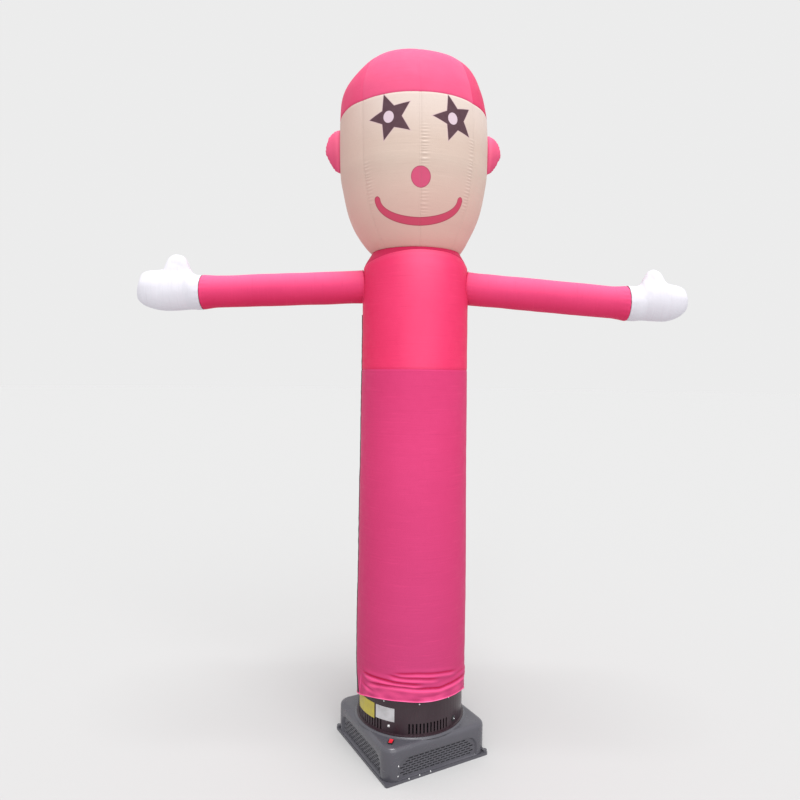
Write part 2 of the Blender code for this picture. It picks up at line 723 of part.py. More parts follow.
def louvre_cutter(side, turn, low, cutters):
    """Short level slots in staggered rows."""
    bm = bmesh.new()
    for row in range(LOUVRE_ROWS):
        height = low + 0.018 + row * LOUVRE_PITCH[1]
        count = 5 if row % 2 == 0 else 6
        if row == LOUVRE_ROWS - 1:
            count = 4 if count == 6 else count
        for i in range(count):
            along = (i - (count - 1) / 2) * LOUVRE_PITCH[0]
            made = bmesh.ops.create_cube(bm, size=1.0)["verts"]
            bmesh.ops.scale(bm, vec=(LOUVRE_SLOT[0], 0.060, LOUVRE_SLOT[1]), verts=made)
            bmesh.ops.translate(bm, vec=(along, -HOUSING_HALF + 0.010, height), verts=made)
    bmesh.ops.rotate(
        bm,
        cent=(0, 0, 0),
        matrix=Matrix.Rotation(math.radians(turn + 90.0 * side), 3, "Z"),
        verts=bm.verts,
    )
    mesh = bpy.data.meshes.new("louvres_%d" % side)
    bm.to_mesh(mesh)
    bm.free()
    return as_cutter(add_object("louvres_%d" % side, mesh, cutters))


def build_base_plate(parts, cutters):
    """The flat underside, with pointed corners past the housing and two tie-down lugs."""
    turn = HOUSING_AZIMUTH + 45.0
    plate = add_object(
        "base_plate",
        block(
            "base_plate",
            (2 * PLATE_HALF, 2 * PLATE_HALF, PLATE_T),
            (0, 0, PLATE_T / 2),
            turn,
            ((upright, 0.008, 2),),
        ),
        parts,
        "housing_plastic",
    )
    for name, azimuth in (("left", HOUSING_AZIMUTH - 90.0), ("right", HOUSING_AZIMUTH + 90.0)):
        a = math.radians(azimuth)
        mesh = round_block("lug_" + name, LUG_R, PLATE_T - 0.004, LUG_TOP, 20)
        mesh.transform(
            Matrix.Translation((LUG_DISTANCE * math.sin(a), -LUG_DISTANCE * math.cos(a), 0))
        )
        lug = add_object("lug_" + name, mesh, cutters)
        cut(plate, as_cutter(lug), "Lug", "UNION")
    smooth(plate, 35)
    return plate


def build_duct(parts, cutters):
    """The round duct that the tube is drawn over, with a foot and four groups of upright slots."""
    inner = DUCT_R - DUCT_WALL
    profile = (
        (inner, DUCT_TOP),
        (DUCT_R, DUCT_TOP),
        (DUCT_R, DUCT_FOOT + 0.0050),
        (SEAT_R, DUCT_FOOT + 0.0028),
        (SEAT_R, DUCT_FOOT),
        (inner, DUCT_FOOT),
        (inner, DUCT_TOP),
    )
    mesh = turned("fan_duct", profile, DUCT_STEPS)
    bm = bmesh.new()
    bm.from_mesh(mesh)
    bmesh.ops.remove_doubles(bm, verts=bm.verts, dist=0.00005)
    bmesh.ops.recalc_face_normals(bm, faces=bm.faces)
    bm.to_mesh(mesh)
    bm.free()
    duct = add_object("fan_duct", mesh, parts, "duct_plastic")

    bm = bmesh.new()
    for group in DUCT_SLOT_GROUPS:
        for i in range(DUCT_SLOTS):
            azimuth = group + (i - (DUCT_SLOTS - 1) / 2) * DUCT_SLOT_PITCH
            made = bmesh.ops.create_cube(bm, size=1.0)["verts"]
            bmesh.ops.scale(bm, vec=(DUCT_SLOT[0], 0.030, DUCT_SLOT[1]), verts=made)
            bmesh.ops.translate(bm, vec=(0, -DUCT_R, DUCT_SLOT_Z), verts=made)
            bmesh.ops.rotate(
                bm,
                cent=(0, 0, 0),
                matrix=Matrix.Rotation(math.radians(azimuth), 3, "Z"),
                verts=made,
            )
    slots = bpy.data.meshes.new("duct_slots")
    bm.to_mesh(slots)
    bm.free()
    cut(duct, as_cutter(add_object("duct_slots", slots, cutters)), "Slots")
    smooth(duct, 35)
    return duct


def on_duct(azimuth, height, distance):
    """The frame of a spot on the duct: X level along it, Y up, Z straight out."""
    a = math.radians(azimuth)
    out = Vector((math.sin(a), -math.cos(a), 0.0))
    along = Vector((math.cos(a), math.sin(a), 0.0))
    frame = Matrix((along, Vector((0, 0, 1)), out)).transposed().to_4x4()
    return Matrix.Translation(out * distance + Vector((0, 0, height))) @ frame


def build_sticker(row, parts, look):
    """A thin label bent round the duct."""
    bm = bmesh.new()
    bmesh.ops.create_grid(bm, x_segments=6, y_segments=1, size=0.5)
    for vertex in bm.verts:
        azimuth = row["from"] + (vertex.co.x + 0.5) * (row["to"] - row["from"])
        height = row["low"] + (vertex.co.y + 0.5) * (row["high"] - row["low"])
        a = math.radians(azimuth)
        radius = DUCT_R + 0.0003 + STICKER_T
        vertex.co = (radius * math.sin(a), -radius * math.cos(a), height)
    mesh = bpy.data.meshes.new(row["name"])
    bm.to_mesh(mesh)
    bm.free()
    face_outwards(mesh, lambda p: Vector((0, 0, p.z)))
    sticker = add_object(row["name"], mesh, parts, look)
    thicken(sticker, STICKER_T)
    return sticker


def build_stud(name, row, parts, look):
    """A round head that stands out from the duct."""
    bm = bmesh.new()
    bmesh.ops.create_cone(
        bm,
        cap_ends=True,
        segments=20,
        radius1=row["radius"],
        radius2=row["radius"] * 0.86,
        depth=row["depth"],
    )
    mesh = bpy.data.meshes.new(name)
    bm.to_mesh(mesh)
    bm.free()
    mesh.transform(on_duct(row["azimuth"], row["height"], DUCT_R + 0.0004 + row["depth"] / 2))
    stud = add_object(name, mesh, parts, look)
    smooth(stud, 30)
    return stud


def build_switch(parts, cutters):
    """A bezel on the housing's front corner and the rocker that tilts in it."""
    a = math.radians(SWITCH_AZIMUTH)
    place = Matrix.Translation((SWITCH_R * math.sin(a), -SWITCH_R * math.cos(a), 0.0))
    spin = Matrix.Rotation(a, 4, "Z")
    width, length, tall = BEZEL_SIZE

    mesh = block(
        "switch_bezel", (width, length, tall), (0, 0, SWITCH_BASE + tall / 2), 0.0,
        ((upright, 0.0025, 2),),
    )
    mesh.transform(place @ spin)
    bezel = add_object("switch_bezel", mesh, parts, "switch_black")
    hole = block("bezel_hole", (*BEZEL_HOLE, 0.030), (0, 0, SWITCH_BASE + 0.004))
    hole.transform(place @ spin)
    cut(bezel, as_cutter(add_object("bezel_hole", hole, cutters)), "Opening")
    smooth(bezel, 30)

    pivot = bpy.data.objects.new("rocker_pivot", None)
    pivot.empty_display_size = 0.02
    parts.objects.link(pivot)
    pivot.matrix_world = place @ Matrix.Translation((0, 0, ROCKER_PIVOT_Z)) @ spin

    outline = (
        (-0.0112, 0.0026),
        (0.0000, 0.0012),
        (0.0112, 0.0026),
        (0.0112, -0.0004),
        (0.0034, -0.0020),
        (-0.0034, -0.0020),
        (-0.0112, -0.0004),
    )
    bm = bmesh.new()
    face = bm.faces.new([bm.verts.new((-ROCKER_WIDTH / 2, y, z)) for y, z in outline])
    made = bmesh.ops.extrude_face_region(bm, geom=[face])["geom"]
    moved = [v for v in made if isinstance(v, bmesh.types.BMVert)]
    bmesh.ops.translate(bm, vec=(ROCKER_WIDTH, 0, 0), verts=moved)
    bmesh.ops.recalc_face_normals(bm, faces=bm.faces)
    mesh = bpy.data.meshes.new("switch_rocker")
    bm.to_mesh(mesh)
    bm.free()
    rocker = add_object("switch_rocker", mesh, parts, "switch_red")
    rocker.parent = pivot
    rocker.rotation_euler = (math.radians(ROCKER_REST_TILT), 0, 0)
    return rocker


def build_cloth(parts, cutters):
    """The sewn pieces, from the hem up."""
    lower = add_object(
        "body_lower",
        skin("body_lower", LOWER_RINGS, tube_radius, tube_point, 0.0, SEAM_GAP / 2),
        parts,
        "lower_cloth",
    )
    upper = add_object(
        "body_upper",
        skin("body_upper", UPPER_RINGS, tube_radius, tube_point, SEAM_GAP / 2, 0.0004),
        parts,
        "upper_cloth",
    )
    yoke = add_object(
        "shoulder_yoke",
        skin("shoulder_yoke", YOKE_RINGS, tube_radius, tube_point, 0.0004, SEAM_GAP / 2),
        parts,
        "upper_cloth",
    )
    face = add_object(
        "head_face",
        skin(
            "head_face",
            [row["height"] for row in FACE_PROFILE],
            lambda z: between(FACE_PROFILE, "height", "radius", z),
            lambda azimuth, z: head_point(FACE_PROFILE, azimuth, z),
            SEAM_GAP / 2,
            SEAM_GAP / 2,
        ),
        parts,
        "face_cloth",
    )
    cap = add_object(
        "head_cap",
        skin(
            "head_cap",
            [row["height"] for row in CAP_PROFILE],
            lambda z: between(CAP_PROFILE, "height", "radius", z),
            lambda azimuth, z: head_point(CAP_PROFILE, azimuth, z),
            SEAM_GAP / 2,
            0.0,
        ),
        parts,
        "cap_cloth",
    )
    for piece in (lower, upper, yoke, face, cap):
        thicken(piece)

    for arm in ARMS:
        cut(upper, armhole_cutter(arm, cutters), "Armhole")
        sleeve = add_object("arm_" + arm["side"], arm_skin(arm), parts, "upper_cloth")
        hand = add_object("hand_" + arm["side"], mitt_mesh(arm), parts, "mitt_cloth")
        thicken(sleeve)
        thicken(hand)
        smooth(sleeve)
        smooth(hand, 60)
    for ear in EARS:
        made = add_object("ear_" + ear["side"], ear_mesh(ear), parts, "upper_cloth")
        thicken(made)
        smooth(made, 60)
    for piece in (lower, upper, yoke, face, cap):
        smooth(piece)


def main():
    clear_scene()
    parts = collection("Inflatable air dancer")
    cutters = collection("Cutters")
    build_base_plate(parts, cutters)
    build_housing(parts, cutters)
    build_duct(parts, cutters)
    for row, look in zip(STICKERS, ("silver_foil", "yellow_vinyl")):
        build_sticker(row, parts, look)
    build_stud("duct_screw", DUCT_SCREW, parts, "screw_metal")
    build_stud("duct_cap", DUCT_CAP, parts, "switch_black")
    build_switch(parts, cutters)
    build_cloth(parts, cutters)
    cutters.hide_render = True


main()
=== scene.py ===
# %% [markdown]
# # An inflatable air dancer on its blower
# A fan blows air up through a round duct into a tube of thin cloth. The tube stands as long as the fan
# runs, and carries two arms with mitts and a gored head with a cap, two ears and a printed face.
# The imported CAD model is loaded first, as a fixed frame. Each piece below is dressed over its CAD node.

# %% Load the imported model
import math

import bmesh
import bpy
from mathutils import Matrix, Vector, noise


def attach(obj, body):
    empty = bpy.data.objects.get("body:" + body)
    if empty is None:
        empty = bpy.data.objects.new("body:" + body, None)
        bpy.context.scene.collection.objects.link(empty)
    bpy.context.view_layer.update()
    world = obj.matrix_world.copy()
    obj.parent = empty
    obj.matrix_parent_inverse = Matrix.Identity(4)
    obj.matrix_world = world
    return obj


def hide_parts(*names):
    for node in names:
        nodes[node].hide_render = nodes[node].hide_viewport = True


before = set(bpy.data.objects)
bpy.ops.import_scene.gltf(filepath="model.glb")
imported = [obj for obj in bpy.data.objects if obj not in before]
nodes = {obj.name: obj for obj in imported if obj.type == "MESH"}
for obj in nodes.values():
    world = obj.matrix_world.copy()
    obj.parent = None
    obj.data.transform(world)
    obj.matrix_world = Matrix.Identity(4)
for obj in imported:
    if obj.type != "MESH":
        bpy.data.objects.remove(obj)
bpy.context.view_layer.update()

print("CAD nodes:", len(nodes))

# %% [markdown]
# ## The camera
# The picture was taken from eye height, a little under three metres away, with a short lens. The
# camera comes first, so that every later piece can be judged from the same place.

# %% Camera
LENS = 644.43 / 800 * 36
CAMERA_HEIGHT = 1.5965
CAMERA_BACK = 2.7755
CAMERA_PAN = 0.0203
CAMERA_TILT = -0.0355
CAMERA_ROLL = 0.0099


def add_object(name, data):
    made = bpy.data.objects.new(name, data)
    bpy.context.scene.collection.objects.link(made)
    return made


camera = add_object("camera", bpy.data.cameras.new("camera"))
camera.data.sensor_width = 36
camera.data.lens = LENS
camera.matrix_world = (
    Matrix.Translation((0, -CAMERA_BACK, CAMERA_HEIGHT))
    @ Matrix.Rotation(CAMERA_PAN, 4, "Z")
    @ Matrix.Rotation(math.pi / 2 + CAMERA_TILT, 4, "X")
    @ Matrix.Rotation(CAMERA_ROLL, 4, "Z")
)
bpy.context.scene.camera = camera
print("lens", round(LENS, 1), "mm")

# %% [markdown]
# ## Floor and light
# The object stands on a plain pale floor under an open, bright sky, as in a yard at noon. A sun with a
# soft edge stands almost overhead and draws the small highlights on the plastic. A second, much softer
# one comes from the front and the right. The floor's paint is chosen so that it ends up as bright as
# the sky behind it. The plain "Standard" view keeps the strong pinks as strong as the dye is.

# %% Floor, sky and lamps
SKY_STRENGTH = 0.84
SUNS = {
    "overhead": {"azimuth": 10.0, "rise": 80.0, "strength": 1.90, "angle": 24.0},
    "key": {"azimuth": 17.0, "rise": 32.0, "strength": 1.35, "angle": 60.0},
}
FLOOR_GREY = 0.508
bpy.context.scene.view_settings.view_transform = "Standard"


def nothing_selected():
    if bpy.context.object and bpy.context.object.mode != "OBJECT":
        bpy.ops.object.mode_set(mode="OBJECT")
    bpy.ops.object.select_all(action="DESELECT")


nothing_selected()
bpy.ops.mesh.primitive_circle_add(vertices=96, radius=90, fill_type="NGON")
floor = bpy.context.object
floor.name = "floor"
paint = bpy.data.materials.new("floor_paint")
paint.use_nodes = True
paint.node_tree.nodes["Principled BSDF"].inputs["Base Color"].default_value = (FLOOR_GREY,) * 3 + (1,)
paint.node_tree.nodes["Principled BSDF"].inputs["Roughness"].default_value = 1.0
paint.node_tree.nodes["Principled BSDF"].inputs["Specular IOR Level"].default_value = 0.0
floor.data.materials.append(paint)

sky = bpy.data.worlds.new("sky")
sky.use_nodes = True
sky.node_tree.nodes["Background"].inputs["Color"].default_value = (1, 1, 1, 1)
sky.node_tree.nodes["Background"].inputs["Strength"].default_value = SKY_STRENGTH
bpy.context.scene.world = sky


def add_sun(name, sun):
    light = add_object(name, bpy.data.lights.new(name, "SUN"))
    light.data.energy = sun["strength"]
    light.data.angle = math.radians(sun["angle"])
    a, rise = math.radians(sun["azimuth"]), math.radians(sun["rise"])
    towards = Vector((math.sin(a) * math.cos(rise), -math.cos(a) * math.cos(rise), math.sin(rise)))
    light.rotation_euler = towards.to_track_quat("Z", "Y").to_euler()


for name, sun in SUNS.items():
    add_sun(name, sun)
print("suns:", ", ".join(SUNS))

# %% [markdown]
# ## The cloth's outline
# The cloth was measured as sections: a height, a radius and how far the middle stands to the side.
# A curve through those sections gives the skin between them, so that no flat bands show.

# %% Tables of the cloth
TUBE = (
    (0.200, 0.2330, 0.000), (0.290, 0.2335, 0.001), (0.350, 0.2340, 0.001), (0.560, 0.2345, 0.002),
    (0.780, 0.2325, 0.003), (1.080, 0.2292, 0.003), (1.290, 0.2270, 0.004), (1.490, 0.2264, 0.004),
    (1.700, 0.2245, 0.004), (1.900, 0.2245, 0.004), (2.030, 0.2230, 0.004), (2.050, 0.2210, 0.004),
    (2.118, 0.1860, 0.005),
)
FACE = (
    (2.118, 0.1860, 0.005), (2.150, 0.2120, 0.001), (2.186, 0.2345, -0.003),
    (2.230, 0.2580, -0.005), (2.290, 0.2800, -0.006), (2.365, 0.2960, -0.007),
    (2.450, 0.3090, -0.009), (2.560, 0.3115, -0.010), (2.664, 0.3085, -0.012),
)
CAP = (
    (2.664, 0.3085, -0.012), (2.735, 0.2995, -0.016), (2.795, 0.2810, -0.017),
    (2.845, 0.2530, -0.014), (2.881, 0.2120, -0.011), (2.903, 0.1600, -0.009),
    (2.917, 0.0960, -0.008), (2.922, 0.0000, -0.008),
)
HEM_HEIGHTS = (
    (-180, 0.236), (-125, 0.228), (-92, 0.226), (-66, 0.254), (-50, 0.2735), (-36, 0.285),
    (-22, 0.2925), (-8, 0.2945), (5, 0.293), (24, 0.2905), (42, 0.289), (55, 0.286), (68, 0.278),
    (80, 0.262), (92, 0.246), (130, 0.236), (180, 0.236),
)
SHOULDER_HEIGHTS = (
    (-180, 2.106), (-125, 2.092), (-90, 2.062), (-58, 2.074), (-30, 2.095), (5, 2.107), (40, 2.104),
    (66, 2.090), (90, 2.062), (125, 2.092), (180, 2.106),
)
CAP_SEAM_HEIGHTS = (
    (-180, 2.640), (-120, 2.646), (-66, 2.661), (-50, 2.668), (-36, 2.669), (-22, 2.671),
    (-9, 2.6735), (8, 2.675), (36, 2.6745), (68, 2.670), (120, 2.655), (180, 2.640),
)
HEM = 0.235
PANEL_SEAM = 1.628
SHOULDER = 2.085
NECK = 2.118
CAP_SEAM = 2.664
GORES = 8
GORE_SEAM = 5.2
GORE_BULGE = 0.012


def chord(rows, i, column):
    return (rows[i + 1][column] - rows[i][column]) / (rows[i + 1][0] - rows[i][0])


def slope(rows, i, column):
    """The curve's slope at a row. It never overshoots the rows."""
    if i == 0:
        return chord(rows, 0, column)
    if i == len(rows) - 1:
        return chord(rows, i - 1, column)
    left, right = chord(rows, i - 1, column), chord(rows, i, column)
    return 0.0 if left * right <= 0 else 2 * left * right / (left + right)


def along(rows, at, column=1):
    """Reads a column of a table on a smooth curve through its rows."""
    if at <= rows[0][0]:
        return rows[0][column]
    if at >= rows[-1][0]:
        return rows[-1][column]
    i = max(n for n in range(len(rows) - 1) if rows[n][0] <= at)
    span = rows[i + 1][0] - rows[i][0]
    t = (at - rows[i][0]) / span
    rise, lift = slope(rows, i, column) * span, slope(rows, i + 1, column) * span
    start, end = rows[i][column], rows[i + 1][column]
    return (
        start * (2 * t**3 - 3 * t**2 + 1)
        + rise * (t**3 - 2 * t**2 + t)
        + end * (3 * t**2 - 2 * t**3)
        + lift * (t**3 - t**2)
    )


def wrapped(azimuth):
    return (azimuth + 180.0) % 360.0 - 180.0


def clamp(share):
    """The share, kept between 0 and 1."""
    return min(1.0, max(0.0, share))


def bump(distance, width):
    """1 on a line, fading softly to 0 on both sides."""
    return math.exp(-((distance / width) ** 2))


def round_noise(azimuth, scale, third, shift=(0.0, 0.0)):
    """Smooth noise that meets itself after a full turn."""
    a = math.radians(azimuth)
    return noise.noise(Vector((math.cos(a) * scale + shift[0], math.sin(a) * scale + shift[1], third)))


def outline_point(rows, azimuth, height, radius):
    """The point at a turn, a height and a distance from the middle that the outline's table gives."""
    a = math.radians(azimuth)
    return Vector((along(rows, height, 2) + radius * math.sin(a), -radius * math.cos(a), height))


print("tube from", TUBE[0][0], "to", TUBE[-1][0], "m")

# %% [markdown]
# ## A sewn skin
# Every cloth piece is a grid of points wrapped round the air inside. A function says where the point
# at a turn and a level lies. The cloth keeps its own map: metres round it and metres up it, so that a
# weave, a stitch line or a print follows the cloth and not the room. Solidify gives it a real thickness.

# %% Helper: a skin from a placing function
CLOTH = 0.0012


def sewn_skin(name, turns, levels, place, flat, pole=False, tone=None):
    """Builds the grid. flat(turn, level) is its map, and tone(turn, level) its painted light and painted
    shade.
    """
    columns = len(turns)
    points = [place(turn, level) for level in levels for turn in turns]
    spans = list(enumerate(zip(turns, turns[1:] + [turns[0] + 360.0])))
    faces, spots = [], []
    for row, (under, over) in enumerate(zip(levels, levels[1:])):
        low, high = row * columns, (row + 1) * columns
        for column, (turn, last) in spans:
            after = (column + 1) % columns
            faces.append((low + column, low + after, high + after, high + column))
            spots += [flat(turn, under), flat(last, under), flat(last, over), flat(turn, over)]
    if pole:
        points.append(pole)
        for column, (turn, last) in spans:
            faces.append((high + column, high + (column + 1) % columns, len(points) - 1))
            spots += [flat(turn, over), flat(last, over), flat((turn + last) / 2, over + 0.004)]
    mesh = bpy.data.meshes.new(name)
    mesh.from_pydata(points, [], faces)
    layer = mesh.uv_layers.new(name="cloth_map")
    for loop, spot in zip(layer.data, spots):
        loop.uv = spot
    # The tone kept on each point is painted light and painted shade.
    if tone:
        shade = mesh.attributes.new("painted_light_shade", "FLOAT", "POINT")
        painted_tones = [tone(turn, level) for level in levels for turn in turns]
        for point, value in zip(shade.data, painted_tones):
            point.value = value
    mesh.shade_smooth()
    return add_object(name, mesh)


def pick(piece):
    """Selects this piece alone."""
    nothing_selected()
    bpy.context.view_layer.objects.active = piece
    piece.select_set(True)


def apply_modifiers(piece):
    pick(piece)
    for modifier in list(piece.modifiers):
        bpy.ops.object.modifier_apply(modifier=modifier.name)
    nothing_selected()


def thicken(piece, thickness=CLOTH):
    solid = piece.modifiers.new("Cloth", "SOLIDIFY")
    solid.thickness = thickness
    solid.offset = -1.0
    solid.use_even_offset = False
    apply_modifiers(piece)
    print(piece.name, len(piece.data.polygons), "faces")


def spread(start, end, step):
    """Values from start to end, both included, about a step apart."""
    count = max(1, round((end - start) / step))
    return [start + (end - start) * i / count for i in range(count + 1)]


# %% [markdown]
# ## The folds
# Slack cloth hangs above the hem, which is held to the duct, so that it sags over the hem band in long
# folds. A fold is a line round the tube: above it the cloth hangs over like a lip, on the line it turns
# sharply in, and below it the next roll swells out and catches the light. Higher up the air pulls the
# cloth tight, and only broad, shallow waves are left. Beside every seam the thread draws small puckers.

# %% Fold lines and their shape
# Each fold: its line as (azimuth, height), and its depth.
FOLDS = (
    (((-52, 0.334), (-42, 0.340), (-27, 0.3495), (-17, 0.3523), (-8, 0.3520), (5, 0.3477), (21, 0.3430),
      (31, 0.3385), (40, 0.3413), (50, 0.3414), (60, 0.3405), (72, 0.3335), (84, 0.327)), 0.0054),
    (((-61, 0.364), (-49, 0.3662), (-40, 0.3687), (-31, 0.3700), (-17, 0.3695), (-8, 0.3690), (5, 0.3655),
      (16, 0.361)), 0.0056),
    (((-26, 0.3945), (-8, 0.3900), (5, 0.3893), (18, 0.3836), (34, 0.376)), 0.0046),
    (((-20, 0.4035), (-8, 0.4060), (5, 0.4085), (21, 0.4034), (36, 0.3970), (56, 0.382)), 0.0040),
    (((78, 0.326), (104, 0.330), (150, 0.345), (186, 0.338), (220, 0.330), (252, 0.336),
      (276, 0.346)), 0.0052),
    (((98, 0.366), (130, 0.372), (160, 0.366)), 0.0042),
    (((146, 0.396), (182, 0.388), (214, 0.394)), 0.0040),
    (((196, 0.366), (228, 0.360), (262, 0.372)), 0.0042),
    (((52, 0.368), (66, 0.366), (82, 0.355)), 0.0018),
    (((-64, 0.322), (-54, 0.316), (-45, 0.312), (-34, 0.306)), 0.0026),
    (((4, 0.316), (20, 0.311), (36, 0.313)), 0.0012),
)
CORNER_RIDGE = ((0.252, -64.2), (0.267, -63.8), (0.294, -63.1), (0.320, -62.7), (0.352, -62.2))
DUCT_CLEAR = 0.2278
DUCT_TOP = 0.347
FLARE = 0.0032
FOLDS_END = 0.46
FOLD_TIP = 13.0
FULL_FOLD = 0.0056
BAND_FOLD = 0.0051
HEM_EDGE = 0.0055
TUBE_RADIUS = 0.2345
SIDE_PAINTED_SHADE = 0.26


def fold_line(rows, azimuth):
    """The line's height at an azimuth, and how much of the fold is left there near its ends."""
    first, last = rows[0][0], rows[-1][0]
    middle = (first + last) / 2
    turn = middle + wrapped(azimuth - middle)
    inside = min(turn - first, last - turn)
    share = clamp(inside / FOLD_TIP)
    return along(rows, turn), share * share * (3 - 2 * share)


def fold_depth(azimuth, height):
    """How far the folds push the cloth out (or in, below 0)."""
    if height > FOLDS_END:
        return 0.0
    total = 0.0
    for rows, depth in FOLDS:
        line, share = fold_line(rows, azimuth)
        if share:
            above = height - line
            shape = 0.50 * bump(above - 0.0095, 0.0085) + 0.80 * bump(above + 0.0120, 0.0095)
            total += depth * share * (shape - bump(above, 0.0042))
    return total


def corner_ridge(azimuth, height):
    """The hem's open end: one upright fold at the tube's left corner."""
    away = math.radians(wrapped(azimuth - along(CORNER_RIDGE, height))) * TUBE_RADIUS
    return bump(away, 0.0060) * clamp((CORNER_RIDGE[-1][0] - height) / 0.02)


def side_shade_share(azimuth):
    """0 down the front and back, 1 round the sides, where the cloth is painted darker as painted shade."""
    return 1.0 - max(bump(wrapped(azimuth - 5), 52.0), bump(wrapped(azimuth - 180), 52.0))


def fold_painted_light(azimuth, level):
    """Painted highlight along the rolls, the folded hem band, its edge and the corner ridge; painted shade in
    the creases and round the sides.
    """
    azimuth = wrapped(azimuth)
    height = tube_height(azimuth, level)
    if height > FOLDS_END:
        return -SIDE_PAINTED_SHADE * side_shade_share(azimuth)
    total = 0.0
    band = 0.0
    for rows, depth in FOLDS:
        line, share = fold_line(rows, azimuth)
        above = height - line
        size = depth / FULL_FOLD * share
        total += size * (0.62 * bump(above + 0.0100, 0.0070) - 1.05 * bump(above - 0.0012, 0.0042))
        if depth > BAND_FOLD:
            band = max(band, share * clamp((-above - 0.004) / 0.012))
    # The folded hem band is painted lighter: painted light.
    total += (0.30 + 0.55 * round_noise(azimuth, 5.0, height * 34.0)) * band
    # The corner ridge and the hem's edge get a painted highlight, and the sides get painted shade.
    total = max(-1.0, min(0.8, total)) + 0.9 * corner_ridge(azimuth, height)
    return total + (1.1 if level < HEM + HEM_EDGE else 0.0) - SIDE_PAINTED_SHADE * side_shade_share(azimuth)


def waves(azimuth, height):
    """Broad shallow waves of the tight cloth, and a few level drag lines."""
    broad = round_noise(azimuth, 1.3, height * 2.4)
    drag = round_noise(azimuth, 1.1, height * 16.0, (7.0, 0.0))
    slackness = clamp((0.47 - height) / 0.10)
    crumple = round_noise(azimuth, 3.0, height * 46.0, (0.0, 5.0)) * slackness
    return 0.0016 * broad + 0.0007 * drag + 0.0011 * crumple


print(len(FOLDS), "folds")

# %% [markdown]
# ## The tube
# The tube is three pieces of cloth: a long lower panel, a brighter upper panel with the armholes, and a
# narrow yoke that draws in to the neck; the yoke's darker colour is painted shade under the head.
# The rings lie closer together where the folds and seams are.

# %% Where the tube's cloth lies
# The last pair of each arm is its sleeve's painted light and shade: a middle value, and how far it swings
# from light on top to shade underneath.
ARMS = {
    "left": {"sign": -1, "root": 1.9820, "fall": 0.0400, "wrist": 0.9075, "painted_tones": (-0.01, 0.84)},
    "right": {"sign": 1, "root": 1.9785, "fall": 0.0860, "wrist": 0.9005, "painted_tones": (0.04, 0.66)},
}
ARM_RADIUS = 0.0695
ROOT_TUBE = 0.2238
TUBE_MAP_RADIUS = 0.2335
ARMHOLE_LOW = 1.80
ARMHOLE_REACH = 40


def tube_height(azimuth, level):
    """A level ring, moved up where the hem is bunched and where the shoulder seam is arched."""
    hem_fade = max(0.0, 1.0 - (level - HEM) / 0.15)
    rise = along(SHOULDER_HEIGHTS, wrapped(azimuth)) - SHOULDER
    if level <= SHOULDER:
        fade = max(0.0, 1.0 - (SHOULDER - level) / 0.080)
    else:
        fade = max(0.0, 1.0 - (level - SHOULDER) / (NECK - SHOULDER))
    return level + (along(HEM_HEIGHTS, wrapped(azimuth)) - HEM) * hem_fade + rise * fade


def armhole(azimuth, height, radius):
    """The seam round an armhole pulls the panel in, with puckers that run out from it."""
    if height < ARMHOLE_LOW or abs(abs(azimuth) - 90) > ARMHOLE_REACH:
        return 0.0
    arm = ARMS["left" if azimuth < 0 else "right"]
    across = -radius * math.cos(math.radians(azimuth))
    up = height - arm["root"]
    away = math.hypot(across, up) - ARM_RADIUS
    turn = math.atan2(across, up)
    ripple = math.sin(turn * 26 + 2.0 * math.sin(turn * 3)) * (0.7 + 0.3 * math.sin(turn * 5))
    return -0.0025 * bump(away, 0.006) + 0.0009 * ripple * bump(away - 0.014, 0.016)


def seam_puckers(azimuth, distance, pitch=4.6):
    """Short ripples across a level seam, uneven round the tube."""
    strength = 0.5 + 0.5 * noise.noise(Vector((azimuth * 0.06, distance * 9, 3.0)))
    return 0.0007 * strength * math.sin(math.radians(azimuth) * 360 / pitch) * bump(distance, 0.016)


def tube_place(azimuth, level):
    """A point of the tube's cloth. Its hem is never drawn through the duct."""
    azimuth = wrapped(azimuth)
    height = tube_height(azimuth, level)
    radius = along(TUBE, height) + fold_depth(azimuth, height) + waves(azimuth, height)
    radius -= 0.0016 * bump(level - PANEL_SEAM, 0.0035) + 0.0016 * bump(level - SHOULDER, 0.0035)
    radius += seam_puckers(azimuth, level - SHOULDER) + 0.5 * seam_puckers(azimuth, level - PANEL_SEAM)
    radius += armhole(azimuth, height, radius)
    tucked = max(bump(azimuth - 90, 22.0), bump(azimuth + 92, 18.0))
    radius += FLARE * (1.0 - 1.2 * tucked) * clamp((0.345 - height) / 0.055)
    radius += 0.0034 * corner_ridge(azimuth, height)
    if level < HEM + HEM_EDGE:
        radius += 0.0014
    if height < DUCT_TOP:
        radius = max(radius, DUCT_CLEAR)
    return outline_point(TUBE, azimuth, height, radius)


def upper_painted_light(azimuth, level):
    """Painted light down the front and just under the shoulder seam, painted shade round the sides."""
    front = bump(wrapped(azimuth - 9), 27.0)
    total = front * (0.24 + 0.45 * bump(level - SHOULDER, 0.11)) - 0.46 * side_shade_share(azimuth)
    return total + 0.25 * bump(SHOULDER - 0.008 - level, 0.012)


def tube_map(azimuth, level):
    return math.radians(azimuth) * TUBE_MAP_RADIUS, level


